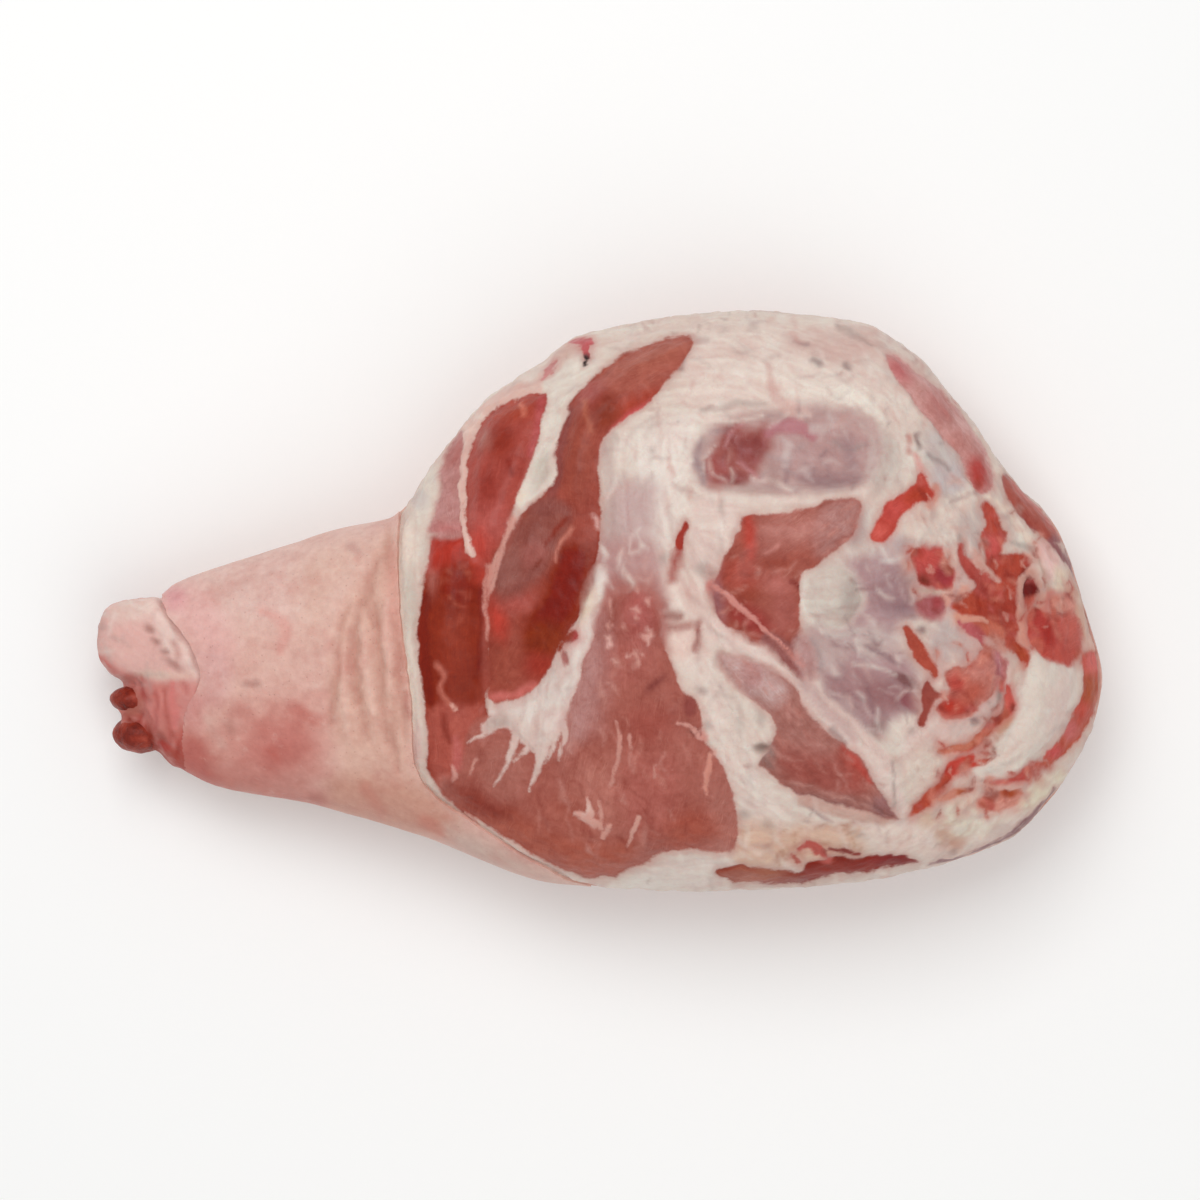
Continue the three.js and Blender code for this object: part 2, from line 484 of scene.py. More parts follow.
# Where the rind lies: it wraps the shank between the hock and the collar, and covers the
# whole underside up to the rim of the meat face.
rind = {
    "hockV": (560, 590, 602, 615, 630, 645, 658, 670, 680, 692, 704, 715, 740, 765, 800),
    "hockU": (158, 162, 163, 167, 179, 190, 197, 200, 200, 196, 188, 184, 182, 184, 190),
    "collarV": (490, 540, 560, 600, 640, 680, 700, 740, 765, 785, 800, 812, 834, 850, 866, 880, 900),
    "collarU": (400, 397, 396, 399, 402, 408, 411, 412, 414, 424, 438, 455, 488, 512, 540, 566, 640),
    "rimDrop": 4.0,  # mm below the widest line
    "buttSide": (150, 215, 4.5),  # from and to which x the rim climbs, and by how much
    "wobble": ((14.0, 3.0, 0.7), (5.0, 4.0, 0.35)),  # mm across, seed, mm high
    "climbs": (  # where the dark edge of the skin shows from above: widths and points on the plan
        ((50,), (1045, 530), (1068, 565), (1092, 612), (1104, 665)),
        ((40,), (930, 858), (985, 840), (1030, 818), (1060, 790)),
    ),
    "climb": 3.5,
    "thick": 2.2,
    "mergeWithin": 0.4,
    "hiddenFrom": 4,  # mm inside its edge, where the flesh can't be seen
    "flush": ((235, 215), (684, 696)),  # the corner by the bone, where skin runs into flesh
    "under": (46, 10),  # the height below which it is the duller skin of the underside
}


def layRind():
    u, v = planOf(co)
    wobble = sum(high * unevenness(co, size, seed) for size, seed, high in rind["wobble"])
    hock = (u - np.interp(v, rind["hockV"], rind["hockU"])) / 2
    collar = (np.interp(v, rind["collarV"], rind["collarU"]) - u) / 2
    start, end, rise = rind["buttSide"]
    buttSide = smoothStep(start, end, co[:, 0])
    below = heightOfWidest() - rind["rimDrop"] + rise * buttSide - co[:, 2]
    for widths, *points in rind["climbs"]:
        below += rind["climb"] * smoothStep(-8, 6, stroke(widths, *points))
    face["rind"] = np.minimum(hock, np.maximum(collar, below)) + wobble


layRind()


# The meat face: the fat first, then the muscles over it. A row is a colour, then for a patch how
# soft its edge is and its outline, for a streak its widths and its points, and for a spot its
# centre, half sizes and turn. Strokes and outlines are on the plan, and rise and edge are in mm.


def paintFatPads():
    face["streak"] = smearNoise((  # the way the fat and silver-skin are drawn out
        [(430, 560), (450, 440), (540, 360), (650, 325), (800, 318), (900, 350)],
        [(640, 430), (640, 520), (660, 600), (700, 680), (750, 780), (850, 850)],
        [(700, 380), (760, 370), (850, 400), (885, 460), (860, 520), (880, 600)],
        [(740, 330), (765, 370), (790, 420)],
        [(930, 400), (980, 470), (1040, 560), (1070, 640), (1050, 720), (980, 790), (900, 860)],
        [(410, 500), (405, 600), (415, 720), (440, 800), (540, 870), (680, 880), (900, 840)],
        [(100, 600), (150, 640), (200, 680)],
        [(560, 640), (545, 700), (530, 790)],
        [(700, 420), (760, 425), (860, 415)],
        [(700, 490), (780, 495), (870, 490)],
        [(800, 600), (860, 590), (920, 570)],
        [(800, 650), (860, 690), (900, 740)],
        [(950, 620), (990, 640), (1010, 690), (980, 745)],
        [(910, 820), (970, 770), (1040, 745)],
    ))
    patches(
        "fatTone",
        ("dccbc0", 5, (480, 396), (540, 350), (600, 328), (700, 318), (700, 345), (590, 362), (520, 392)),
        ("dbcec3", 7, (600, 450), (640, 420), (700, 400), (700, 470), (680, 560), (655, 540), (604, 500)),
        ("e3d6cd", 7, (640, 440), (700, 410), (745, 395), (700, 420), (680, 480), (670, 560), (645, 500)),
        ("c4a8a4", 7, (615, 486), (655, 484), (656, 540), (650, 580), (604, 580), (604, 520)),
        ("bd9892", 7, (600, 530), (622, 548), (650, 545), (656, 590), (650, 615), (602, 615)),
        (
            "dfcdc3", 9, (690, 335), (760, 322), (860, 325), (905, 365), (905, 430), (870, 405),
            (760, 400), (690, 400),
        ),
        ("d2b6ad", 6, (785, 342), (850, 330), (885, 345), (860, 362), (800, 356)),
        ("e4d8cd", 5, (790, 376), (840, 384), (890, 398), (885, 418), (820, 396)),
        # c7b9b0 is painted shade on the shadow side of the hollow
        ("c7b9b0", 5, (872, 425), (896, 440), (900, 475), (880, 495), (868, 470)),
        ("dac4bb", 6, (690, 500), (735, 500), (740, 530), (715, 560), (690, 560)),
        ("dfcac0", 6, (660, 575), (708, 585), (712, 640), (690, 655), (664, 610)),
        ("d3c3ba", 6, (820, 560), (862, 500), (880, 520), (870, 560), (840, 580), (812, 610)),
        ("b9a5a0", 4, (842, 510), (862, 508), (866, 535), (850, 545)),
        ("ddccc2", 6, (668, 610), (712, 640), (735, 720), (786, 815), (745, 822), (715, 745), (692, 690)),
        ("c8bab5", 6, (925, 430), (945, 425), (968, 470), (955, 492), (930, 480)),
        ("dccabf", 5, (915, 505), (960, 500), (978, 520), (960, 545), (915, 545)),
        ("cbb4ac", 4, (958, 512), (982, 505), (982, 545), (962, 545)),
        ("d4c7bc", 7, (820, 700), (880, 740), (900, 740), (930, 720), (940, 800), (900, 850), (860, 780)),
        ("d9c0b8", 6, (905, 735), (940, 730), (945, 780), (915, 790)),
        ("d6b4a0", 6, (740, 824), (800, 828), (846, 828), (866, 850), (800, 862), (738, 866)),
        ("e2cfc4", 6, (860, 815), (960, 800), (1040, 790), (1030, 815), (935, 856), (880, 850)),
        (
            "dfd3ca", 5, (560, 872), (600, 884), (640, 872), (690, 856), (730, 862), (720, 886),
            (640, 892), (560, 885),
        ),
        ("d1a895", 5, (432, 806), (480, 832), (470, 846), (420, 836)),
        ("d2bdb5", 4, (478, 838), (530, 858), (560, 876), (530, 884), (470, 856)),
    )
    # the hollow in the fat over the hip joint
    hollow = blob(
        (692, 455), (712, 424), (752, 410), (815, 404), (868, 416), (880, 446), (868, 484), (820, 494),
        (750, 495), (700, 486),
    )
    tint("fatTone", hollow, "c0a29d", 4)
    face["rise"] -= 3.0 * smoothStep(-1, 8, hollow)
    tint("fatTone", oval((826, 448), (50, 36), -6), "b79491", 6)
    silverSkin(hollow, 0.8)
    red = blob(
        (708, 455), (722, 432), (738, 420), (752, 428), (770, 424), (772, 444), (762, 462), (756, 474),
        (738, 482), (716, 488), (704, 476),
    )
    tint("fatTone", red, "9e5a54", 4.5)
    face["streak"] -= 0.8 * smoothStep(0, 4, red)
    streaks(
        "fatTone",
        ("bfaea6", (6, 8, 4), (702, 410), (732, 404), (764, 404)),
        ("d3b1a8", (5, 11, 10), (768, 366), (776, 396), (798, 416)),
        ("e2d2c8", (3, 5, 3), (708, 418), (740, 420), (762, 416)),
        ("d9b6ad", (4, 4), (788, 402), (812, 414)),
        ("b5797f", (8, 18, 8), (768, 432), (790, 424), (815, 434)),
        ("9d7b7c", (5, 5), (790, 450), (786, 478)), ("c7b2ae", (6, 6), (812, 428), (836, 424)),
        ("a8908d", (5, 6, 4), (836, 440), (850, 446), (866, 442)),
        ("c7b2ae", (8, 8), (790, 444), (785, 462)),
        ("dcc6bd", (3, 5, 4), (754, 474), (774, 478), (790, 488)),
        ("c8b6b0", (4, 6, 5), (862, 424), (874, 440), (870, 470)),
        ("a58d8d", (5, 7, 5), (700, 440), (696, 462), (704, 482)),
        ("e0d2c8", (4, 7, 6, 5), (700, 494), (760, 500), (820, 500), (864, 492)),
        ("b69c98", (4, 4), (842, 512), (852, 522)), ("a98f8b", (3, 5), (795, 341), (806, 345)),
        ("b59a92", (7, 7, 4), (838, 326), (856, 334), (872, 346)),
        ("a5918c", (6, 8), (812, 360), (818, 364)), ("a5918c", (6, 6), (846, 364), (850, 368)),
        ("c9b4ad", (8, 8), (692, 338), (706, 340)), ("a0938f", (6, 7), (685, 356), (680, 366)),
        ("e6cfc8", (5, 5), (686, 352), (682, 356)),
        edge=1.6, strength=0.9,
    )
    # darker mauve along the lower right of the hollow: painted shade
    streaks(
        "fatTone",
        ("987a7c", (12, 16, 8), (806, 474), (832, 480), (858, 474)),
        ("a08587", (10, 8), (848, 438), (852, 462)),
        edge=4, strength=0.8,
    )
    streaks(
        "fatTone",
        ("b79c96", (8, 12, 12, 10, 8), (604, 440), (610, 480), (611, 530), (608, 560), (604, 600)),
        edge=4, strength=0.7,
    )
    spots(
        "fatTone",
        # b08a85 at (711, 574) is a painted shadow between the wedge and the fat
        ("a5807c", (773, 472), (7, 13), 0), ("b08a85", (711, 574), (7, 15), 0),
        ("c9a297", (566, 352), (14, 8), -35), ("bd9a8d", (532, 491), (7, 10), 0),
        ("b98e86", (770, 694), (8, 10), 30), ("b89a92", (748, 492), (12, 5), 0),
        ("e2c6bb", (684, 640), (24, 20), 30), ("b59893", (812, 630), (8, 8), 0),
        ("c3a29d", (850, 424), (22, 6), 15),
        edge=4, strength=0.75,
    )
    spots(
        "fatTone",
        ("a0534f", (718, 466), (13, 10), -20), ("84403d", (736, 477), (9, 7), 0),
        ("8b4643", (752, 448), (14, 13), 30), ("924e4a", (732, 440), (9, 10), 20),
        edge=2.6, strength=0.85,
    )
    streaks(
        "fatTone",
        ("c08a8a", (3, 4, 3), (726, 446), (734, 430), (744, 424)),
        ("b87c7e", (3, 4, 2), (742, 462), (752, 470), (760, 474)),
        edge=1.2, strength=0.8,
    )
    scatter(
        "fatTone", red > 1, ("a97072", "83403e", "a05c5a"), 30, 19, 15, 60, 12, 5,
        edge=1.4, strength=0.5,
    )
    scatter(
        "fatTone",
        (hollow > 1) & (red < 0), ("a58a8a", "ccb8b4", "937779", "b9a09d"), 40, 20, 10, 40, 18, 5,
        edge=1.6, strength=0.5,
    )
    # blood marks and nicks in the fat
    streaks(
        "lean",
        ("9c352b", (5, 9, 7, 4), (685, 524), (681, 536), (678, 548), (672, 578)),
        ("7c3a36", (7, 8), (655, 602), (661, 608)),
        ("80443a", (4, 5, 3), (660, 619), (669, 616), (678, 616)),
        ("9a6058", (3, 3), (668, 627), (688, 626)),
        # 93564f marks a pit: its dark colour is partly blood, partly painted shade
        ("93564f", (4, 4, 3), (698, 625), (698, 636), (695, 650)),
        ("c25f62", (3, 7, 6), (568, 339), (580, 341), (590, 341)),
        ("bd5558", (8, 6), (584, 345), (586, 356)), ("35201f", (4, 4), (585, 361), (585, 364)),
        ("c67f7c", (2, 7, 3), (542, 379), (549, 369), (556, 362)),
        ("d0655e", (6, 8, 5), (560, 650), (570, 638), (580, 632)),
        blur=0.7,
    )
    # small grey-brown marks: painted shade in small pits and creases of the fat
    spots(
        "fatTone",
        ("9c8580", (663, 558), (5, 6), 0), ("a08b86", (701, 568), (7, 6), 0),
        ("a8928c", (716, 660), (5, 6), 0), ("8f7a76", (701, 690), (6, 4), 30),
        ("9d8984", (706, 726), (6, 5), 0), ("94807b", (745, 815), (6, 4), 0),
        ("a59089", (760, 718), (4, 9), 0), ("b3a39b", (740, 720), (3, 12), 0),
        ("9d8b84", (858, 835), (7, 4), 20), ("a08a80", (768, 825), (6, 4), 0),
        ("98857e", (614, 440), (4, 6), 0), ("a9a29a", (568, 400), (3, 5), 0),
        ("aa9890", (722, 505), (3, 8), 0), ("a39089", (916, 768), (4, 5), 0),
        ("7f6a66", (913, 732), (5, 4), 20), ("8d7b76", (922, 630), (5, 3), 10),
        edge=2.0, strength=0.5,
    )


def paintHock():  # the heel lump, its cream rim and the flesh about the bone
    heel = blob(
        (40, 540), (165, 560), (172, 615), (190, 640), (206, 665), (206, 690), (160, 684), (128, 686),
        (98, 672), (20, 690),
    )
    raw = smoothStep(-188, -200, co[:, 0]) * smoothStep(0, 6, heightOfWidest() - co[:, 2])
    tint("fatTone", raw * 8 - 4, "c08177", 4)
    tint("fatTone", heel + 4, "ddb1a9", 3)
    tint("fatTone", oval((134, 610), (26, 12), -8), "dfc5bb", 4, 0.8)
    # painted shade along the heel's left edge, where it turns down
    tint("fatTone", stroke((9, 7), (94, 612), (93, 645)), "b88982", 4, 0.8)
    cream = blob(
        (143, 594), (161, 591), (168, 612), (180, 634), (194, 652), (199, 684), (190, 684), (184, 668),
        (168, 652), (158, 636), (150, 615),
    )
    tint("fatTone", cream, "e6c9c0", 3)
    face["rise"] += 0.7 * smoothStep(0, 3, cream)
    face["streak"] *= 1 - 0.6 * smoothStep(-1, 4, heel)
    streaks(
        "fatTone",
        ("dbbcae", (8, 9, 6), (140, 674), (165, 675), (188, 676)),
        ("c9988f", (6, 6), (175, 642), (179, 656)),
        edge=2, strength=0.9,
    )
    streaks(
        "fatTone",
        ("c05a53", (6, 11, 10, 5), (98, 654), (108, 666), (122, 677), (140, 682)),
        edge=3, strength=0.8,
    )
    # painted shadow along the skin's cut edge over the cream rim
    streaks(
        "fatTone",
        ("b48781", (3, 4, 4, 3), (161, 600), (172, 622), (190, 646), (200, 684)),
        edge=1.4, strength=0.7,
    )
    for at, radii in (
        ((149, 628), (5, 4)), ((155, 641), (5, 3)), ((165, 651), (4, 3)), ((173, 664), (9, 3)),
    ):
        pit = oval(at, radii, 35)
        tint("fatTone", pit, "a87c74", 1.6, 0.8)
        face["rise"] -= 1.2 * smoothStep(-1, 1.2, pit)
    # raw flesh about the bone, which runs into the skin without a step
    patches(
        "fatTone",
        (
            "c47b72", 3, (40, 692), (116, 684), (150, 682), (185, 686), (190, 720), (190, 775),
            (196, 840), (100, 850), (40, 780),
        ),
        ("cb8a83", 4, (172, 682), (200, 684), (205, 715), (190, 725), (176, 715)),
        ("bd6259", 4, (176, 735), (200, 735), (215, 830), (150, 830), (165, 780)),
        ("d08a82", 3, (118, 676), (150, 680), (148, 694), (122, 694)),
        ("d0827a", 3, (148, 698), (164, 698), (162, 722), (148, 720)),
        ("ad524a", 3, (136, 712), (150, 716), (148, 738), (134, 734)),
        ("92372b", 3, (134, 732), (150, 728), (168, 742), (172, 758), (145, 757), (130, 754)),
        ("a94b3f", 3, (158, 748), (182, 752), (190, 772), (168, 768)),
        ("b06a5e", 3, (124, 690), (138, 690), (142, 706), (134, 716), (124, 714)),
        ("8a3226", 3, (128, 716), (142, 722), (146, 740), (136, 754), (126, 752)),
        ("cc8078", 3, (150, 686), (163, 688), (160, 700), (150, 698)),
    )
    streaks(
        "fatTone",
        ("b2605a", (3, 4, 4), (156, 692), (157, 712), (156, 730)),
        ("b8645c", (4, 5, 5, 4), (166, 690), (167, 710), (168, 730), (170, 748)),
        ("d27d78", (5, 8, 6), (173, 684), (174, 706), (173, 728)),
        ("a8433d", (3, 5, 4), (142, 688), (145, 697), (150, 700)),
        ("b03c34", (6, 8), (160, 742), (168, 748)),
        edge=1.5, strength=0.85,
    )
    flesh = blob((112, 682), (190, 684), (195, 770), (112, 758))
    scatter(
        "fatTone", flesh > 1, ("a9443a", "d69088", "93392f", "cb7a72"), 46, 21, 80, 40, 13, 5,
        edge=1.5, strength=0.5,
    )
    face["streak"] *= 1 - 0.6 * smoothStep(-1, 3, flesh)


def paintShank():  # the fat along the collar and the muscles of the shank
    collarFat = blob(
        (444, 466), (425, 484), (408, 506), (398, 528), (395, 560), (397, 600), (400, 640), (407, 680),
        (409, 720), (412, 765), (424, 788), (455, 814), (478, 832), (474, 822), (450, 804), (433, 788),
        (424, 768), (423, 740), (428, 706), (419, 680), (417, 650), (420, 600), (430, 573), (423, 550),
        (430, 520), (436, 495),
    )
    fat(collarFat, "dccdc1", rise=0.8)
    spots(
        "fatTone",
        ("c9bcb0", (411, 600), (5, 30), 0), ("e4d3c6", (409, 545), (8, 18), 0),
        ("cfc1ba", (420, 500), (10, 10), 0), ("d2b3ab", (416, 745), (6, 24), 0),
        edge=2,
    )
    lean(
        blob(
            (432, 536), (462, 532), (470, 552), (484, 556), (488, 620), (490, 680), (486, 706),
            (500, 760), (470, 805), (446, 799), (428, 770), (427, 730), (421, 690), (417, 640),
            (420, 600), (428, 566),
        ),
        "882f20", rise=1.6, dome=10, fibres=[(452, 530), (450, 640), (462, 800)],
    )
    tint(
        "leanTone",
        blob((428, 708), (480, 704), (474, 735), (470, 770), (466, 808), (440, 790), (426, 750)),
        "a95246", 4,
    )
    spots(
        "leanTone",
        ("86281a", (459, 584), (19, 20), 0), ("8f3525", (455, 642), (15, 26), 0),
        ("8a3222", (468, 690), (20, 13), 0), ("8a3a2e", (488, 797), (18, 14), 20),
        ("a5463c", (490, 745), (16, 16), 0), ("bb7266", (450, 790), (14, 12), 30),
        ("ad5f54", (433, 574), (5, 14), 0),
        edge=4,
    )
    tint(
        "leanTone",
        blob((427, 539), (462, 534), (467, 553), (455, 562), (440, 570), (428, 562)), "b0372b", 5,
    )
    tint("leanTone", stroke((10, 8), (425, 540), (428, 566)), "b3625c", 2.5, 0.8)
    streaks(
        "leanTone",
        ("7f271a", (14, 14, 12), (426, 600), (423, 645), (430, 700)),
        ("781f13", (5, 7, 5), (482, 590), (483, 630), (481, 668)),
        ("b96758", (4, 5, 4, 5), (437, 664), (445, 676), (441, 692), (453, 707)),
        ("b9615a", (5, 11, 9, 5), (456, 738), (460, 765), (453, 790), (461, 808)),
        ("8c3a30", (5, 5), (444, 715), (450, 740)),
        edge=1.6,
    )
    streaks("leanTone", ("ac3a2d", (12, 14), (474, 558), (482, 578)), edge=5)
    streaks(
        "fat",
        ("dba398", (3, 5, 3), (454, 765), (455, 780), (453, 796)),
        ("d9a293", (4, 5), (452, 704), (455, 708)),
        blur=1.0,
    )
    scatter(
        "leanTone", oval((458, 596), (17, 34)) > 0, ("b5604c", "a85040"), 12, 5, 90, 60, 8, 4,
        edge=1.6, strength=0.55,
    )
    lean(
        blob(
            (457, 430), (447, 450), (441, 470), (440, 490), (433, 512), (430, 532), (464, 530),
            (461, 500), (459, 470), (463, 440),
        ),
        "b97f7a", blur=1.4, fibres=[(458, 430), (444, 490), (446, 535)],
    )
    spots("leanTone", ("b06862", (452, 452), (9, 16), 15), ("b9706c", (445, 528), (14, 5), 0), edge=3)
    lean(
        blob(
            (545, 392), (543, 420), (536, 446), (526, 475), (517, 500), (509, 522), (500, 545),
            (489, 564), (474, 556), (467, 535), (465, 508), (465, 478), (470, 450), (479, 425),
            (493, 409), (516, 398),
        ),
        "a5483e", rise=2.2, dome=9, fibres=[(530, 395), (497, 460), (482, 560)],
    )
    spots(
        "leanTone",
        ("a63f2c", (515, 413), (16, 10), -20), ("8c3024", (502, 443), (13, 17), 0),
        ("ad5149", (488, 518), (20, 22), 0), ("9c3d33", (490, 490), (12, 15), 0),
        ("a5655b", (486, 440), (6, 8), 0), ("b8443a", (480, 546), (9, 14), 0),
        edge=5,
    )
    streaks(
        "leanTone",
        ("ae4d4b", (6, 8, 6), (542, 396), (539, 425), (530, 455)),
        ("cc6f5b", (4, 5), (521, 404), (526, 414)), ("8c2e24", (3, 4), (510, 462), (512, 476)),
        edge=1.6,
    )
    streaks(
        "fat",
        (
            "e3c4b8", (5, 6, 6, 7, 6, 5, 5, 4, 5, 7), (543, 389), (515, 394), (495, 403), (481, 415),
            (470, 431), (464, 446), (461, 470), (460, 494), (463, 522), (471, 554),
        ),
        rise=0.6, dome=1.5, blur=0.6,
    )
    streaks("fatTone", ("d3aba1", (8, 12, 8), (548, 380), (500, 394), (468, 420)), edge=3, strength=0.7)


def paintCurvedMuscle():  # the long dark muscle that curves up to the top
    lean(
        blob(
            (692, 337), (660, 340), (622, 356), (592, 378), (571, 402), (559, 440), (553, 480),
            (540, 498), (522, 511), (510, 535), (498, 560), (490, 590), (487, 630), (488, 670),
            (490, 700), (512, 701), (532, 690), (547, 670), (561, 645), (575, 620), (588, 590),
            (596, 560), (600, 520), (599, 450), (620, 422), (650, 400), (670, 377), (688, 355),
        ),
        "99463a", rise=2.6, dome=11,
        fibres=[(700, 340), (610, 385), (572, 450), (568, 540), (530, 640), (495, 700)],
    )
    tint(
        "leanTone",
        blob((700, 336), (655, 342), (612, 364), (590, 392), (610, 400), (650, 392), (685, 360)),
        "a6584b", 6,
    )
    tint(
        "leanTone",
        blob(
            (560, 545), (590, 550), (588, 590), (570, 625), (548, 652), (524, 652), (524, 625),
            (545, 590),
        ),
        "7f2410", 6,
    )
    spots(
        "leanTone",
        ("a85c4d", (655, 358), (26, 9), -20), ("a35049", (592, 396), (14, 16), 0),
        ("a23a29", (640, 402), (24, 7), -25), ("82301f", (606, 414), (11, 15), 15),
        ("9a4a3c", (580, 460), (14, 40), 0), ("9b4a3c", (508, 660), (18, 30), 10),
        ("86331f", (545, 640), (18, 18), 0), ("be4337", (498, 619), (9, 17), -10),
        ("98352a", (540, 666), (13, 13), 0), ("aa5148", (515, 600), (18, 10), 0),
        edge=5,
    )
    streaks(
        "leanTone",
        ("8d4640", (8, 13, 12, 10), (568, 408), (560, 440), (556, 475), (552, 498)),
        ("b84a49", (5, 10, 8), (612, 432), (632, 414), (650, 404)),
        # b2634f is a painted highlight line on the muscle
        ("b2634f", (4, 4), (586, 402), (591, 430)),
        ("c0645c", (8, 9, 8), (493, 697), (514, 696), (534, 686)),
        ("8a3528", (4, 4), (594, 545), (587, 585)),
        edge=2,
    )
    veil = blob(
        (522, 514), (545, 499), (566, 504), (572, 520), (562, 545), (548, 570), (526, 590), (505, 598),
        (496, 580), (502, 556), (512, 534),
    )
    tint("leanTone", veil, "8d4c43", 3.5)
    silverSkin(veil, 0.35)
    spots(
        "leanTone",
        ("935850", (507, 572), (11, 22), 20), ("8a4b44", (546, 508), (20, 8), 0),
        ("9a544c", (535, 555), (12, 14), 30), ("8a4034", (519, 513), (7, 6), 0),
        edge=3,
    )
    streaks(
        "leanTone",
        ("853328", (4, 5, 3), (568, 518), (558, 530), (546, 546)),
        ("7f382d", (5, 4), (541, 560), (532, 571)),
        ("8a4a42", (7, 8, 5), (530, 574), (520, 584), (508, 590)),
        ("bb6e5f", (4, 4, 3), (573, 528), (562, 543), (556, 562)),
        ("d09a92", (3, 3), (594, 516), (599, 528)),
        edge=1.2,
    )
    fat(
        blob(
            (577, 364), (560, 374), (547, 386), (545, 402), (542, 432), (533, 462), (521, 486),
            (516, 499), (528, 498), (540, 489), (552, 482), (556, 450), (559, 420), (568, 400),
            (580, 385), (592, 372),
        ),
        "dccfc4", rise=-0.6, dome=3,
    )
    spots("fatTone", ("cbbfb3", (540, 470), (8, 18), 20), ("ddcaba", (520, 496), (5, 6), 30), edge=2)
    streaks(
        "fat",
        ("cb9488", (4, 5, 5, 4), (511, 520), (506, 535), (500, 558), (490, 592)),
        ("c9877b", (3, 3, 2), (486, 566), (485, 600), (487, 640)),
        blur=1.0,
    )


def paintInnerThigh():  # the broad muscle in the middle
    lean(
        blob(
            (602, 604), (628, 588), (650, 592), (660, 612), (664, 640), (681, 685), (698, 705),
            (703, 738), (722, 765), (733, 800), (738, 832), (730, 853), (690, 849), (665, 854),
            (640, 866), (598, 880), (560, 869), (520, 846), (480, 823), (455, 806), (444, 790),
            (466, 768), (476, 728), (520, 705), (560, 690), (590, 645),
        ),
        "a25a4f", rise=2.5, dome=14, fibres=[(628, 585), (640, 700), (600, 875)],
    )
    tint(
        "leanTone",
        blob((455, 795), (500, 800), (560, 830), (640, 845), (600, 878), (540, 858), (490, 828)),
        "a85646", 6,
    )
    tint("leanTone", blob((604, 590), (655, 590), (662, 640), (640, 655), (606, 650)), "9d574e", 8)
    spots(
        "leanTone",
        ("88362b", (486, 802), (28, 14), 20), ("a8655a", (505, 768), (24, 30), 0),
        ("b27166", (722, 820), (14, 40), 0), ("b06a5e", (600, 795), (30, 42), 0),
        ("a65344", (685, 828), (34, 20), 0), ("ab5f55", (650, 790), (30, 40), 0),
        ("9c4f45", (650, 725), (24, 20), 0), ("a45950", (625, 660), (28, 20), 0),
        ("a8544e", (640, 612), (12, 22), 0), ("a75b4e", (566, 815), (30, 18), 20),
        ("bb7c72", (690, 860), (30, 8), 0), ("b2776e", (575, 700), (10, 40), 10),
        edge=7,
    )
    patches(
        "fatTone",
        ("b88f8b", 5, (604, 545), (652, 545), (664, 600), (660, 640), (600, 640), (596, 600)),
        ("ac736c", 5, (606, 580), (654, 578), (664, 610), (662, 660), (600, 660), (596, 610)),
    )
    soften(oval((646, 596), (44, 32)) + 4, 4.0)
    tint(
        "leanTone",
        blob((596, 640), (606, 600), (616, 640), (608, 720), (590, 740), (578, 720)), "a8706a", 6, 0.55,
    )
    # the torn white web that spreads over it from the curved muscle
    tint(
        "leanTone",
        blob((590, 610), (602, 620), (600, 680), (588, 730), (572, 748), (570, 712), (580, 665)),
        "b98782", 5, 0.6,
    )
    web = blob(
        (480, 729), (495, 711), (514, 704), (534, 694), (553, 668), (569, 636), (584, 604), (595, 572),
        (601, 573), (597, 606), (586, 644), (578, 682), (567, 716), (556, 740), (540, 752), (524, 742),
        (508, 727), (492, 733),
    )
    fat(web, "dacac2", rise=1.0)
    for tip, root, wide in (
        ((530, 790), (547, 722), 18), ((496, 784), (520, 722), 9), ((560, 760), (562, 712), 10),
        ((547, 764), (554, 722), 8), ((466, 744), (500, 716), 8), ((514, 762), (534, 730), 8),
    ):
        middle = ((tip[0] + root[0]) / 2 + 4, (tip[1] + root[1]) / 2)
        streaks("fat", ("d5beb5", (wide, wide * 0.6, 1), root, middle, tip), blur=0.9)
    spots(
        "fatTone",
        ("d9c2b0", (588, 606), (8, 18), 20), ("c9a59e", (594, 660), (8, 26), 12),
        ("b9a39b", (498, 722), (12, 7), -20), ("d2b7b0", (560, 720), (14, 10), 0),
        edge=3,
    )
    spots(
        "lean",
        ("d0665f", (571, 638), (8, 5), -40), ("aa4a47", (572, 640), (4, 3), -40),
        ("a86a64", (566, 658), (3, 7), 0),
        blur=0.9,
    )
    # white flecks and threads in the muscle
    streaks(
        "fat",
        ("d8aca0", (3, 9, 4), (588, 796), (590, 814), (577, 812)),
        ("d3a094", (4, 9), (580, 814), (597, 822)), ("cf988b", (2, 5), (600, 800), (603, 826)),
        ("cf988b", (6, 4), (612, 822), (603, 836)),
        ("cf9b8e", (6, 5, 2), (640, 815), (634, 830), (626, 846)),
        ("c68c80", (2, 6, 4, 2), (617, 722), (620, 745), (617, 766), (611, 786)),
        ("c68c80", (4, 2), (630, 735), (633, 747)),
        ("cb9085", (6, 4, 3), (702, 738), (690, 726), (676, 722)),
        ("cd8a7a", (5, 6, 2), (710, 756), (708, 775), (705, 794)),
        ("c58a7d", (2, 3, 2), (477, 758), (472, 768), (468, 775)),
        ("c9988c", (3, 5), (466, 812), (472, 828)), ("c08478", (3, 2), (655, 764), (656, 776)),
        blur=0.8,
    )
    spots(
        "leanTone",
        ("5f2f2b", (696, 732), (6, 3), 0), ("7c3834", (655, 684), (12, 3), -45),
        ("86403c", (690, 707), (7, 10), 0),
        edge=1.4, strength=0.8,
    )
    inside = blob(
        (610, 600), (655, 600), (690, 720), (720, 800), (640, 850), (560, 840), (540, 790), (600, 700),
    )
    inside = inside > 0
    scatter(
        "leanTone", inside & (face["v"] < 670), ("d09a90", "c98d82"), 22, 7, 80, 25, 9, 5,
        edge=1.0, strength=0.85,
    )
    scatter(
        "leanTone", inside, ("c0857a", "b87468", "8b3f36", "91463c"), 70, 8, 80, 18, 26, 4,
        edge=1.2, strength=0.55,
    )


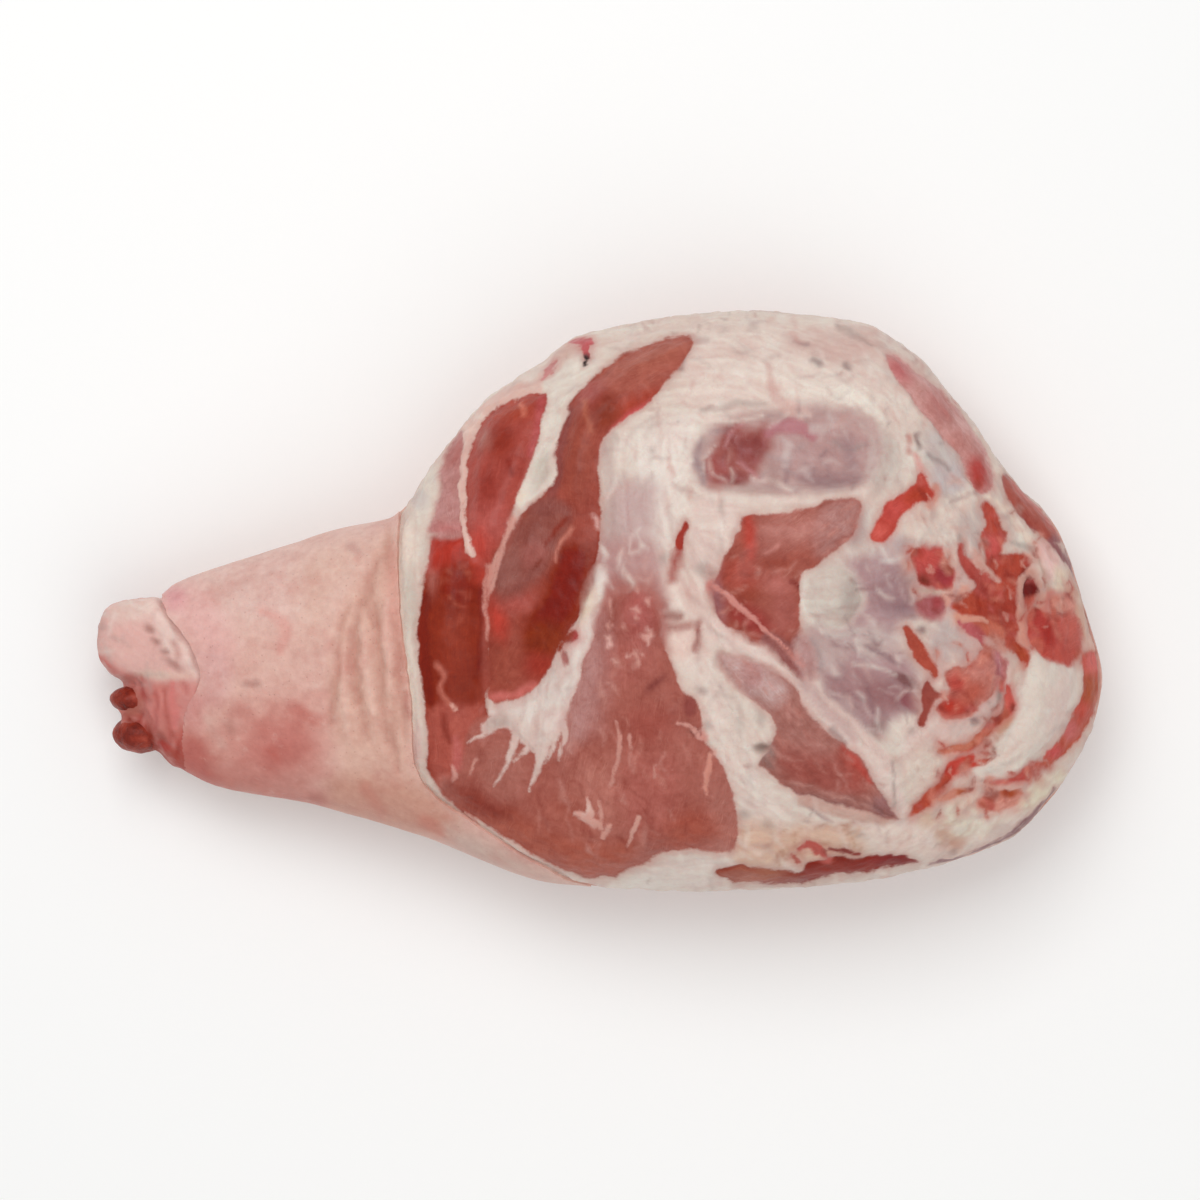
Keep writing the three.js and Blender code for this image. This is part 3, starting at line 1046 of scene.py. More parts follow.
def paintHip():  # the wedge of lean, the silver-skin beside it and the head of the bone
    wedge = blob(
        (745, 515), (790, 512), (830, 500), (862, 501), (848, 540), (817, 566), (800, 580), (800, 640),
        (786, 668), (765, 645), (735, 637), (714, 610), (711, 590), (724, 556), (740, 530),
    )
    lean(wedge, "9d5044", rise=2.4, dome=9, fibres=[(720, 600), (790, 555), (862, 500)])
    tint(
        "leanTone",
        blob((760, 518), (830, 502), (862, 502), (845, 540), (812, 545), (770, 540)), "b06d63", 7,
    )
    tint("leanTone", blob((826, 506), (860, 502), (848, 536), (824, 556), (816, 540)), "b07d77", 6, 0.85)
    spots(
        "leanTone",
        ("8d3a2b", (765, 563), (18, 7), 0), ("913f30", (748, 594), (10, 8), 0),
        ("983c36", (750, 620), (26, 13), 30), ("9a6263", (718, 600), (7, 24), 0),
        ("a64c40", (740, 575), (20, 16), 0), ("a55950", (785, 612), (14, 24), 0),
        ("b0635a", (778, 583), (14, 8), 10),
        edge=4,
    )
    streaks("leanTone", ("b8453a", (4, 9, 10, 5), (746, 512), (749, 526), (750, 540), (752, 556)), edge=3.5)
    streaks(
        "leanTone",
        ("7d2f2a", (3, 4), (790, 582), (800, 586)), ("c07a70", (3, 4), (765, 552), (778, 546)),
        edge=1.4,
    )
    scatter(
        "leanTone", wedge > 1, ("bf7c70", "863a30", "c08276"), 34, 11, -35, 20, 22, 4,
        edge=1.2, strength=0.5,
    )
    # two tendons that cross its lower end
    lean(stroke((10, 16, 14), (770, 642), (786, 656), (800, 672)), "925652", blur=0.9)
    lean(stroke((10, 16, 8), (802, 642), (808, 658), (812, 676)), "b48783", blur=2.6)
    streaks(
        "fat",
        ("cc867d", (4, 5, 5, 5, 4), (712, 586), (731, 599), (756, 621), (776, 641), (804, 664)),
        ("ddb0a6", (5, 7, 6, 5), (744, 640), (766, 652), (788, 672), (802, 682)),
        rise=0.7, dome=1.5,
    )
    skin = blob(
        (850, 562), (885, 552), (915, 552), (920, 585), (920, 612), (902, 622), (896, 645), (915, 665),
        (918, 700), (890, 722), (875, 734), (835, 705), (818, 672), (812, 640), (845, 625), (864, 598),
    )
    tint("fatTone", skin, "b19091", 5)
    tint("fatTone", blob((800, 640), (830, 630), (850, 650), (840, 680), (815, 672)), "bda39f", 5)
    silverSkin(skin, 1.0)
    spots(
        "fatTone",
        ("a38385", (899, 590), (26, 24), 0), ("8f6a6a", (911, 572), (9, 15), 0),
        ("baa6a4", (898, 544), (20, 10), -10), ("c6b1ac", (872, 642), (24, 16), 10),
        ("a67f7f", (860, 692), (34, 24), 30), ("986d6e", (888, 694), (24, 16), 20),
        ("8b6a66", (878, 728), (7, 8), 20), ("b59c9a", (846, 708), (12, 6), 40),
        ("8f7074", (905, 608), (16, 6), 0),
        edge=5,
    )
    streaks(
        "fatTone",
        ("ccbfbb", (3, 5, 4), (880, 562), (900, 558), (920, 552)),
        ("7a4c4c", (4, 12, 6), (892, 672), (904, 680), (920, 694)),
        ("8b4e54", (14, 16), (905, 700), (914, 706)),
        ("c2a5a0", (3, 4, 3), (898, 700), (904, 692), (916, 692)),
        ("8f7377", (3, 5, 3), (866, 646), (886, 656), (900, 664)),
        ("c9b6b0", (3, 5, 3), (852, 664), (875, 666), (895, 674)),
        ("8c686b", (3, 3), (848, 692), (866, 702)), ("8c686b", (3, 4), (866, 684), (872, 712)),
        ("ad9795", (5, 7), (812, 640), (822, 665)),
        ("c5b4ae", (5, 8, 5), (812, 622), (832, 634), (860, 630)),
        edge=1.3, strength=0.9,
    )
    ball = oval((832, 596), (30, 31))
    tint("fatTone", ball, "cdbfb5", 3.5)
    # a painted highlight on the ball's left rim
    tint("fatTone", stroke((6, 9, 7), (806, 580), (803, 602), (812, 622)), "ded3c9", 2, 0.9)
    tint("fatTone", oval((850, 600), (10, 18)), "b8a9a1", 4)
    face["rise"] += 2.4 * smoothStep(0, 12, ball) - 1.2 * np.exp(-((ball / 1.6) ** 2))
    scatter(
        "fatTone", skin > 0, ("c6afab", "8f6f70", "b99c9a", "9a7a7b"), 60, 12, 40, 30, 24, 4,
        edge=1.2, strength=0.5,
    )


def paintSlenderMuscle():  # the narrow one below the silver-skin
    streaks(
        "fat",
        (
            "dcc7be", (12, 18, 24, 30, 26, 12), (712, 626), (760, 658), (808, 700), (850, 742),
            (880, 772), (899, 818),
        ),
        rise=1.2,
    )
    slender = blob(
        (718, 656), (745, 659), (790, 680), (805, 708), (822, 728), (845, 746), (862, 760), (876, 786),
        (897, 820), (850, 807), (800, 794), (775, 777), (759, 764), (772, 745), (774, 720), (755, 702),
        (738, 688), (724, 671),
    )
    lean(slender, "a56b62", rise=2.4, dome=8, fibres=[(720, 660), (790, 725), (895, 820)])
    tint("leanTone", blob((718, 657), (748, 661), (785, 685), (770, 705), (735, 685)), "bf9a95", 6)
    tint("leanTone", blob((785, 748), (850, 760), (870, 792), (825, 792), (785, 775)), "9c5148", 6)
    spots(
        "leanTone",
        # 936d66 at (766, 756) is painted shade in the pocket at the muscle's left edge
        ("b48480", (752, 676), (10, 14), 0), ("936d66", (766, 756), (11, 11), 0),
        ("a85248", (852, 768), (10, 20), -30), ("9a6663", (884, 806), (14, 12), 35),
        edge=3,
    )
    soften(oval((730, 662), (24, 14)) + 4, 2.4)
    streaks(
        "leanTone",
        ("8c5a55", (3, 4, 3), (782, 786), (812, 798), (850, 806)),
        ("bb8177", (3, 3, 2), (792, 780), (830, 792), (868, 806)),
        ("7f4c49", (4, 5), (868, 800), (890, 816)),
        ("b4493f", (4, 8, 4), (842, 748), (860, 766), (872, 784)),
        edge=1.2, strength=0.85,
    )
    streaks(
        "fatTone",
        ("ab8f8a", (2, 4, 2), (798, 800), (815, 812), (832, 822)),
        ("a9908b", (8, 8), (832, 731), (842, 744)), ("b5a19a", (3, 3), (893, 762), (893, 806)),
        edge=1.2,
    )
    streaks(
        "fatTone",
        ("bf9f9b", (10, 14, 14, 8), (800, 676), (812, 694), (832, 716), (852, 738)),
        edge=3, strength=0.75,
    )
    streaks("fat", ("c9a79b", (4, 5, 2), (802, 800), (850, 813), (885, 821)), blur=1.0)
    scatter(
        "leanTone", slender > 1, ("b9756a", "8a4840", "be8278"), 46, 13, 50, 14, 26, 3.5,
        edge=1.2, strength=0.5,
    )
    # a painted shadow in the pocket at the slender muscle's left edge
    spots("fatTone", ("8a756d", (764, 748), (9, 4), -10), edge=1.5)


def paintRim():  # the thin muscle at the bottom edge
    lean(
        blob(
            (717, 869), (742, 866), (780, 872), (800, 872), (812, 860), (860, 858), (885, 856),
            (903, 856), (916, 863), (870, 872), (830, 877), (800, 883), (760, 885), (728, 881),
        ),
        "892917", blur=0.7, fibres=[(716, 873), (820, 872), (918, 864)],
    )
    spots(
        "leanTone",
        ("a55c4a", (752, 876), (34, 9), 0), ("83200f", (892, 860), (26, 7), -5),
        ("a5604a", (770, 872), (10, 5), 0),
        edge=3,
    )
    streaks(
        "lean",
        ("b85a52", (5, 8, 5), (800, 850), (810, 845), (826, 856)),
        ("8c3f38", (3, 5, 3), (830, 850), (844, 852), (860, 854)),
        ("b06055", (4, 3), (792, 856), (798, 862)),
        blur=0.8,
    )
    scatter(
        "fatTone",
        blob((745, 828), (850, 826), (860, 852), (745, 860)) > 0,
        ("b88a74", "dcbfa8", "d8b49d", "b07c66"), 40, 14, -30, 30, 18, 4,
        edge=1.2, strength=0.6,
    )


def paintButt():  # the cut end, where torn lean lies between fat
    # the fat between the torn ends of the muscles
    patches(
        "fatTone",
        (
            "cfb2aa", 6, (905, 560), (960, 540), (1010, 600), (1030, 660), (1000, 740), (940, 760),
            (915, 700), (935, 640),
        ),
        ("dccabf", 4, (915, 505), (940, 498), (978, 506), (982, 530), (960, 545), (915, 545), (905, 525)),
        ("c9b6af", 3, (958, 515), (982, 508), (982, 545), (965, 548)),
        ("c8b8b6", 3, (932, 470), (960, 462), (962, 488), (940, 494)),
        ("edc3bc", 3, (1034, 544), (1050, 544), (1060, 562), (1056, 580), (1044, 575)),
        ("e6d3bd", 3, (1054, 568), (1066, 572), (1076, 596), (1058, 592)),
        ("c3b0ab", 4, (932, 625), (950, 620), (968, 645), (955, 662), (934, 662)),
        ("d3bcb0", 3, (990, 640), (1010, 648), (1022, 668), (1016, 690), (1004, 668)),
        ("cfb9b2", 3, (968, 705), (998, 696), (1002, 712), (985, 730), (962, 728)),
        ("d9c0b7", 4, (925, 720), (965, 724), (985, 732), (960, 742), (920, 744)),
        ("cda48e", 3, (998, 718), (1014, 714), (1018, 728), (1004, 742), (994, 734)),
        ("d9c7bb", 4, (915, 745), (945, 752), (938, 780), (915, 800), (900, 780)),
        ("ddd1c0", 4, (945, 806), (980, 800), (985, 815), (1010, 818), (975, 836), (940, 840)),
        ("e1d3bd", 4, (1030, 786), (1062, 770), (1060, 790), (1030, 812), (1016, 806)),
        ("d08f82", 3, (1036, 596), (1054, 590), (1058, 612), (1044, 620), (1034, 612)),
        ("d8b9ad", 3, (1086, 600), (1098, 622), (1100, 650), (1086, 650), (1078, 610)),
        ("dcc3ac", 3, (1068, 572), (1080, 590), (1088, 640), (1078, 620)),
        ("dcb9ab", 3, (1088, 640), (1098, 636), (1102, 655), (1088, 656)),
    )
    # long strips just inside the rim
    lean(
        blob(
            (886, 352), (906, 362), (935, 385), (958, 408), (975, 432), (986, 450), (993, 470),
            (993, 486), (984, 493), (975, 487), (969, 476), (961, 458), (946, 440), (918, 406),
            (895, 374),
        ),
        "c9928c", rise=0.8, fibres=[(890, 360), (950, 425), (988, 490)],
    )
    spots(
        "leanTone",
        ("b2403a", (979, 471), (10, 18), -15), ("bd6d6c", (900, 370), (14, 8), 45),
        ("b6706a", (940, 405), (12, 20), -35), ("c08079", (958, 440), (14, 12), 40),
        edge=3.5,
    )
    lean(
        blob(
            (1003, 475), (1014, 479), (1028, 493), (1042, 509), (1056, 525), (1065, 539), (1055, 544),
            (1045, 539), (1033, 529), (1021, 516), (1010, 502), (1004, 488),
        ),
        "a54e42", rise=0.8, fibres=[(1003, 478), (1030, 508), (1060, 540)],
    )
    streaks(
        "leanTone",
        ("bf5d52", (4, 5, 4), (1012, 482), (1040, 508), (1062, 536)),
        ("9a4c46", (4, 6), (1020, 515), (1040, 536)),
        edge=1.6,
    )
    # torn lean between the fat
    lean(
        blob(
            (921, 470), (927, 476), (930, 487), (936, 494), (930, 501), (918, 503), (908, 511),
            (899, 521), (892, 532), (884, 542), (876, 543), (871, 535), (878, 522), (884, 508),
            (892, 499), (902, 492), (912, 487), (918, 480),
        ),
        "b8473d", rise=-0.6, blur=0.9, fibres=[(875, 540), (900, 510), (932, 488)],
    )
    spots(
        "leanTone",
        ("be4c45", (895, 510), (9, 12), 40), ("b34331", (917, 496), (12, 6), -15),
        ("c8584e", (879, 533), (6, 8), 30), ("bf5a50", (922, 477), (4, 7), 0),
        edge=2.5,
    )
    lean(
        blob(
            (912, 552), (925, 547), (942, 549), (946, 560), (954, 569), (955, 580), (948, 590),
            (935, 588), (922, 585), (915, 571), (911, 560),
        ),
        "ba4e49", rise=-0.7, blur=1.7, fibres=[(912, 555), (930, 565), (955, 580)],
    )
    spots(
        "leanTone",
        ("a03c40", (945, 576), (10, 10), 20), ("7c332a", (926, 580), (10, 5), 15),
        ("c4524b", (926, 558), (10, 6), 0),
        edge=2.5,
    )
    lean(
        blob((918, 601), (930, 595), (944, 596), (947, 606), (940, 618), (928, 620), (919, 612)),
        "ab6163", rise=-0.3, blur=2.4,
    )
    spots("leanTone", ("a4484a", (938, 602), (6, 7), 20), edge=2)
    lean(
        blob(
            (984, 502), (991, 504), (999, 514), (1003, 525), (1009, 535), (1004, 545), (1003, 555),
            (1012, 553), (1026, 555), (1031, 562), (1026, 572), (1018, 579), (1018, 592), (1018, 612),
            (1018, 640), (1027, 649), (1031, 656), (1026, 668), (1014, 654), (1000, 641), (990, 631),
            (985, 618), (972, 617), (960, 613), (954, 604), (960, 594), (972, 590), (978, 582),
            (984, 572), (988, 562), (985, 545), (983, 533), (987, 524), (983, 514),
        ),
        "ab4537", rise=-0.7, blur=0.9, fibres=[(990, 505), (1008, 565), (1000, 610), (1026, 665)],
    )
    spots(
        "leanTone",
        ("ba4a3a", (991, 514), (8, 14), -20), ("c45550", (993, 546), (9, 12), 0),
        ("b04534", (1016, 566), (15, 10), 0), ("b04a38", (968, 603), (15, 11), 0),
        ("a03c2f", (1000, 615), (11, 24), -10), ("a84530", (1022, 652), (10, 10), 45),
        ("ab4031", (1000, 588), (10, 8), 0),
        edge=3,
    )
    streaks(
        "lean",
        ("ae4c44", (3, 10, 13, 12), (961, 546), (966, 560), (975, 575), (986, 588)),
        ("bf6450", (6, 13, 10), (965, 626), (980, 628), (996, 634)),
        ("b45a5c", (3, 6, 6, 4), (960, 622), (974, 634), (986, 646), (1000, 654)),
        ("b5686c", (3, 7, 7, 4), (998, 652), (1005, 664), (1002, 680), (1000, 692)),
        blur=1.0, rise=-0.3,
    )
    streaks(
        "fat",
        ("cfa094", (3, 8, 6, 3), (972, 552), (984, 566), (992, 574), (1000, 580)),
        ("d3937f", (4, 5, 3), (960, 618), (976, 618), (988, 622)),
        ("cf9585", (7, 9, 8, 5), (1021, 584), (1022, 610), (1021, 632), (1024, 642)),
        blur=0.9,
    )
    lean(
        blob(
            (1029, 614), (1040, 609), (1052, 615), (1050, 600), (1060, 592), (1072, 595), (1078, 612),
            (1082, 632), (1081, 654), (1070, 665), (1058, 663), (1046, 657), (1036, 650), (1028, 636),
        ),
        "b84c42", rise=-0.3, blur=1.6, halo=0.5, fibres=[(1030, 640), (1060, 630), (1085, 620)],
    )
    spots(
        "leanTone",
        ("d29080", (1064, 602), (16, 12), 20), ("b3403a", (1038, 622), (11, 11), 0),
        ("a63029", (1048, 636), (9, 12), 0), ("c05a4e", (1072, 630), (9, 22), -10),
        ("cc6a58", (1034, 645), (8, 7), 0), ("b84a3e", (1064, 656), (14, 6), 0),
        edge=3,
    )
    eye = oval((1031, 592), (11, 19))
    fat(eye, "d5a697", rise=0.7, dome=2, blur=0.9)
    slit = oval((1030.5, 592), (7.5, 15.5))
    lean(slit, "6e1f1c", blur=0.6)
    face["rise"] -= 1.5 * smoothStep(-0.5, 1.5, slit)
    lean(
        stroke((7, 14, 15, 13, 7), (906, 629), (914, 642), (924, 658), (932, 670), (935, 677)), "ab4a3a",
        rise=-0.6, blur=0.8,
    )
    lean(
        blob(
            (927, 683), (934, 690), (942, 696), (934, 702), (930, 712), (924, 726), (919, 722),
            (922, 708), (921, 696),
        ),
        "96443a", rise=-0.6, blur=0.9,
    )
    # the round muscle and the rings of fat about it
    lean(
        blob(
            (947, 674), (955, 667), (968, 666), (978, 660), (982, 650), (991, 645), (1000, 653),
            (1002, 668), (1001, 681), (994, 693), (985, 702), (976, 712), (966, 719), (950, 720),
            (940, 714), (937, 706), (945, 699), (951, 690), (947, 682),
        ),
        "bd7266", rise=1.2, dome=7, blur=0.9, fibres=[(945, 705), (970, 690), (1000, 660)],
    )
    spots(
        "leanTone",
        ("ad3327", (953, 707), (15, 9), -8), ("b4463c", (957, 683), (10, 9), 0),
        ("b75a4b", (970, 694), (14, 10), -30), ("b9727a", (1000, 666), (4, 14), 0),
        ("bd7469", (984, 668), (10, 12), 20),
        edge=3,
    )
    streaks(
        "lean",
        ("c8564c", (6, 12, 13, 7), (1009, 688), (1011, 700), (1010, 710), (1002, 716)),
        ("b65a48", (8, 11, 11, 5), (1002, 716), (993, 724), (986, 734), (977, 741)),
        ("c06e59", (3, 9, 9, 5), (986, 742), (970, 747), (955, 749), (940, 751)),
        ("bf6a5a", (3, 6, 7, 3), (960, 768), (975, 763), (988, 761), (1002, 756)),
        ("c2463b", (6, 13, 15, 12, 5), (942, 785), (949, 775), (957, 767), (966, 762), (973, 757)),
        ("b24a38", (3, 9, 12, 11, 7), (911, 817), (920, 807), (930, 797), (939, 789), (944, 782)),
        ("c8806e", (3, 8, 9, 4), (938, 800), (950, 796), (962, 793), (972, 790)),
        ("c46b62", (2, 5, 6, 6), (985, 783), (1000, 783), (1012, 780), (1020, 778)),
        ("b84a42", (8, 12, 10), (1018, 777), (1026, 774), (1032, 771)),
        ("b65a52", (6, 10, 8), (1033, 769), (1039, 767), (1046, 766)),
        ("d58d7e", (8, 20, 20, 8), (982, 804), (994, 803), (1008, 800), (1020, 793)),
        blur=1.0, rise=-0.3, halo=0.55,
    )
    spots(
        "leanTone",
        ("b2502f", (1010, 793), (11, 4), -8), ("b05a40", (963, 793), (5, 4), 0),
        ("8e3a31", (1015, 708), (4, 5), 0), ("9c4038", (997, 719), (4, 5), 30),
        edge=1.6,
    )
    spots(
        "fatTone",
        ("7f6a6c", (974, 722), (4, 4), 0), ("8d756a", (994, 749), (3, 3), 0),
        ("9b807c", (920, 629), (4, 3), 0), ("93807a", (999, 695), (3, 7), 0),
        edge=1.4,
    )
    streaks(
        "fatTone",
        ("e8d6c6", (4, 7, 7, 6), (986, 496), (1004, 508), (1018, 526), (1034, 544)),
        ("e2d0c3", (5, 7, 6), (976, 430), (992, 458), (1003, 482)),
        ("b29590", (3, 5, 2), (985, 489), (966, 495), (950, 503)),
        ("a9958f", (3, 6, 3), (960, 536), (964, 548), (970, 556)),
        ("c38f86", (7, 7), (910, 436), (911, 452)), ("8d7471", (4, 4), (918, 434), (920, 448)),
        ("d79f97", (5, 6, 4), (916, 454), (920, 468), (922, 476)),
        ("aa9b98", (6, 5), (928, 456), (950, 468)), ("b3a49c", (5, 7), (1014, 542), (1034, 549)),
        ("bfa796", (3, 5), (920, 591), (944, 590)), ("d6b6a6", (3, 6), (946, 553), (953, 563)),
        ("dcc0b6", (4, 5, 3), (1004, 658), (1010, 676), (1008, 694)),
        ("b59a86", (2, 3, 2), (1038, 560), (1044, 575), (1050, 590)),
        ("cf9095", (5, 5), (951, 598), (955, 606)),
        edge=1.3, strength=0.9,
    )
    around = blob(
        (925, 470), (1010, 500), (1050, 560), (1080, 600), (1030, 680), (1000, 740), (1040, 770),
        (1000, 810), (920, 810), (940, 740), (930, 620), (900, 560),
    )
    around = around > 0
    torn = around & ((face["v"] > 545) | (face["u"] > 985))
    scatter(
        "lean", torn & (face["lean"] < 0), ("c07a6c", "b5574a", "a8695f"), 40, 15, 60, 50, 13, 2.6,
        blur=1.1,
    )
    scatter("fat", around & (face["lean"] > 0), ("d3998a", "c98a7c"), 24, 16, 60, 40, 13, 2.2, blur=1.1)
    scatter(
        "leanTone", around & (face["lean"] > 0), ("c66c5c", "96301f", "cf7d6b", "8a2b24", "bb5a55"), 110,
        17, 55, 40, 16, 5,
        edge=1.6, strength=0.6,
    )
    scatter(
        "fatTone", around & (face["lean"] < 0), ("cf9d90", "e6d5c8", "b9a09a", "d8b3a6"), 90, 18, 55, 45,
        18, 5,
        edge=1.8, strength=0.5,
    )
    # the pale smooth fat and the red strip outside it
    smoothFat = blob(
        (1037, 658), (1046, 665), (1060, 668), (1073, 673), (1077, 684), (1073, 702), (1066, 720),
        (1055, 738), (1040, 752), (1022, 762), (1000, 769), (976, 772), (985, 764), (1000, 754),
        (1004, 742), (1015, 727), (1024, 710), (1027, 690), (1032, 668),
    )
    fat(smoothFat, "dccfc4", rise=1.4, dome=6)
    tint("fatTone", oval((1058, 706), (14, 34), 15), "dcc6bd", 5)
    face["streak"] *= 1 - 0.75 * smoothStep(-1, 4, smoothFat)
    silverSkin(smoothFat, 0.5)
    lean(
        blob(
            (1082, 656), (1092, 652), (1102, 656), (1104, 678), (1100, 700), (1093, 716), (1085, 731),
            (1074, 746), (1062, 757), (1051, 765), (1045, 756), (1055, 745), (1065, 731), (1075, 713),
            (1082, 696), (1084, 675),
        ),
        "b44c36", fibres=[(1090, 660), (1092, 700), (1048, 757)],
    )
    spots(
        "leanTone",
        ("cb5c54", (1093, 663), (10, 12), 0), ("a84a2c", (1092, 690), (9, 16), 0),
        ("b8493c", (1082, 712), (9, 10), 0), ("bd5a55", (1071, 731), (9, 10), 0),
        ("c54a47", (1055, 752), (9, 7), -30),
        edge=3,
    )
    spots(
        "fatTone",
        ("c9a08c", (944, 832), (9, 9), 20), ("c08c78", (952, 844), (12, 7), -15),
        ("cfb09b", (928, 818), (8, 10), 20),
        edge=3, strength=0.8,
    )
    streaks(
        "lean",
        ("8f4f50", (4, 7, 5, 3), (1053, 543), (1063, 553), (1071, 564), (1078, 577)),
        ("a07f7a", (3, 3, 2), (1078, 578), (1087, 600), (1096, 630)),
        (
            "875556", (3, 6, 6, 6, 5, 5, 3), (931, 865), (965, 858), (986, 850), (1007, 838), (1025, 824),
            (1042, 807), (1056, 790),
        ),
        blur=0.9, halo=0.15,
    )


def paintWisps():  # threads and thin skins that run through the fat, and blood in them
    free = (face["lean"] < -1.2) & (face["rind"] < -2) & face["seen"]
    u, v = face["u"], face["v"]
    for seed, area, angle, count in (
        (31, (u > 600) & (u < 740) & (v > 400) & (v < 700), 80, 90),
        (32, (u > 690) & (u < 900) & (v < 420), 20, 90), (33, (u > 680) & (u < 900) & (v > 620), 60, 90),
        (34, (u > 900) & (v > 700), -25, 60), (35, (u > 880) & (v < 620), 50, 70),
        (36, (u > 470) & (u < 610) & (v > 560), 110, 40),
        (37, (u > 430) & (u < 700) & (v < 480), -40, 40), (38, (u > 92) & (u < 205) & (v < 690), 40, 30),
    ):
        scatter(
            "fatTone", free & area, ("d0aba2", "c0aaa4", "eae0d7", "cc9d93", "b39a95", "e6dad0"), count,
            seed, angle, 35, 26, 5,
            edge=1.6, strength=0.38,
        )
    scatter(
        "fatTone", free & (u > 640), ("9a7d77", "a9746b"), 50, 39, 60, 60, 9, 3.5,
        edge=1.1, strength=0.45,
    )


def paintRindColour():
    height, blend = rind["under"]
    under = smoothStep(blend, -blend, co[:, 2] - height)[:, None]
    mottling = unevenness(co, 55.0, 8.0)[:, None]
    face["rindTone"] = face["rindTone"] * (1 - 0.5 * under) + linearColour("dab3a4") * 0.5 * under
    weight = smoothStep(0.1, 0.7, mottling) * 0.5 * np.maximum(under, 0.25)
    face["rindTone"] = face["rindTone"] * (1 - weight) + linearColour("c88d7f") * weight
    # The skin is painted lighter high on the shank (dfbab0, dcb5a7) and redder and darker low down (cd8a7f,
    # c4736a, bd695d): partly its own flush and blood, partly painted light and shade as the shank turns
    # towards and away from the light.
    for colour, edge, strength, *points in (
        ("dfbab0", 14, 1.0, (165, 560), (280, 540), (380, 520), (350, 590), (300, 615), (180, 625)),
        ("dcb5a7", 10, 1.0, (300, 560), (375, 540), (340, 600), (310, 640)),
        ("e2b0aa", 8, 0.8, (162, 590), (200, 585), (235, 640), (225, 670), (200, 650), (172, 620)),
        ("d9959a", 4, 0.6, (163, 588), (182, 590), (184, 604), (170, 610)),
        ("d6a5a0", 5, 0.7, (196, 650), (225, 660), (225, 700), (185, 712), (184, 695), (200, 690)),
        (
            "cd8a7f", 16, 0.8, (200, 745), (235, 715), (290, 702), (328, 730), (322, 772), (270, 790),
            (210, 780),
        ),
        ("c4736a", 13, 0.75, (250, 745), (290, 716), (308, 735), (298, 762), (262, 778)),
        (
            "bd695d", 6, 0.8, (176, 745), (200, 760), (250, 780), (320, 792), (330, 808), (250, 802),
            (182, 788),
        ),
        (
            "daaf9f", 6, 1.0, (388, 530), (398, 560), (400, 640), (410, 700), (414, 770), (425, 800),
            (360, 800), (335, 730), (332, 640), (345, 600), (368, 565),
        ),
        ("d49a8c", 3, 0.8, (388, 545), (397, 560), (402, 640), (406, 685), (392, 670), (384, 600)),
        ("cb9583", 6, 0.9, (335, 775), (425, 790), (460, 830), (400, 835), (335, 812)),
        ("cdaea2", 6, 1.0, (450, 825), (540, 870), (575, 890), (470, 858)),
        ("cf8f88", 5, 0.8, (178, 690), (198, 692), (205, 725), (184, 728)),
        ("bb6057", 6, 0.8, (178, 735), (205, 740), (215, 780), (185, 785)),
        ("8f5f5c", 2, 0.9, (1045, 530), (1080, 590), (1100, 640), (1108, 665), (1085, 600), (1060, 560)),
        (
            "8a5857", 2, 0.9, (930, 866), (985, 848), (1030, 826), (1060, 795), (1030, 812), (985, 836),
            (930, 856),
        ),
    ):
        tint("rindTone", blob(*points), colour, edge, strength)
    streaks(
        "rindTone",
        ("8f625c", (4, 6), (246, 682), (258, 684)), ("b07a70", (7, 8), (228, 720), (231, 732)),
        ("b5574c", (9, 8), (270, 750), (278, 760)),
        ("98382f", (3, 7, 4), (404, 693), (406, 704), (408, 716)),
        ("bd665b", (10, 8), (298, 708), (316, 722)), ("a8685f", (5, 5), (312, 798), (322, 800)),
        ("c47c6e", (12, 12), (365, 790), (380, 810)), ("c77a6b", (12, 8), (424, 820), (440, 832)),
        ("d8948a", (8, 12, 8), (262, 610), (285, 625), (280, 650)),
        ("b98a86", (4, 4), (350, 546), (360, 552)), ("d0a79c", (8, 8), (210, 720), (222, 745)),
        edge=2.6, strength=0.55,
    )
    u, v = face["u"], face["v"]
    low = (face["rind"] > 2) & (u > 200) & (u < 330) & (v > 690) & face["seen"]
    scatter(
        "rindTone", low, ("b8645a", "d39a8e", "bd7066"), 40, 41, 20, 50, 26, 12,
        edge=4.0, strength=0.35,
    )


# Soft folds of the rind, pulled together at the top of the collar. Each line is how high it
# stands in mm, its widths along it and its points on the plan.
# Their hollows are painted darker and their crests lighter: painted shade and painted highlight.
folds = {
    "widen": 1.6,
    "raise": 1.4,
    "hollow": "bb8374",
    "crest": "dfb7a9",
    "lines": (
        (-1.0, (5, 9, 6), (389, 528), (386, 545), (386, 566)),
        (-1.1, (4, 9, 9, 5), (378, 556), (368, 580), (366, 602), (374, 624)),
        (-1.3, (4, 9, 10, 5), (361, 598), (353, 630), (351, 665), (357, 704)),
        (-1.2, (4, 8, 10, 5), (346, 608), (336, 640), (333, 680), (330, 722)),
        (-1.0, (5, 9, 9, 5), (373, 606), (377, 640), (380, 690), (386, 742)),
        (-0.9, (4, 8, 8, 4), (392, 622), (396, 655), (400, 700), (406, 742)),
        (-0.7, (4, 8, 5), (356, 690), (362, 712), (368, 740)),
        (-0.7, (4, 8, 5), (392, 700), (392, 735), (398, 770)),
        (0.8, (4, 7, 5), (336, 636), (331, 658), (327, 684)),
        (0.7, (5, 9, 5), (362, 630), (366, 665), (372, 712)),
        (0.7, (5, 9, 5), (342, 650), (345, 690), (350, 740)),
        (0.7, (5, 9, 5), (386, 600), (388, 650), (391, 690)),
    ),
}


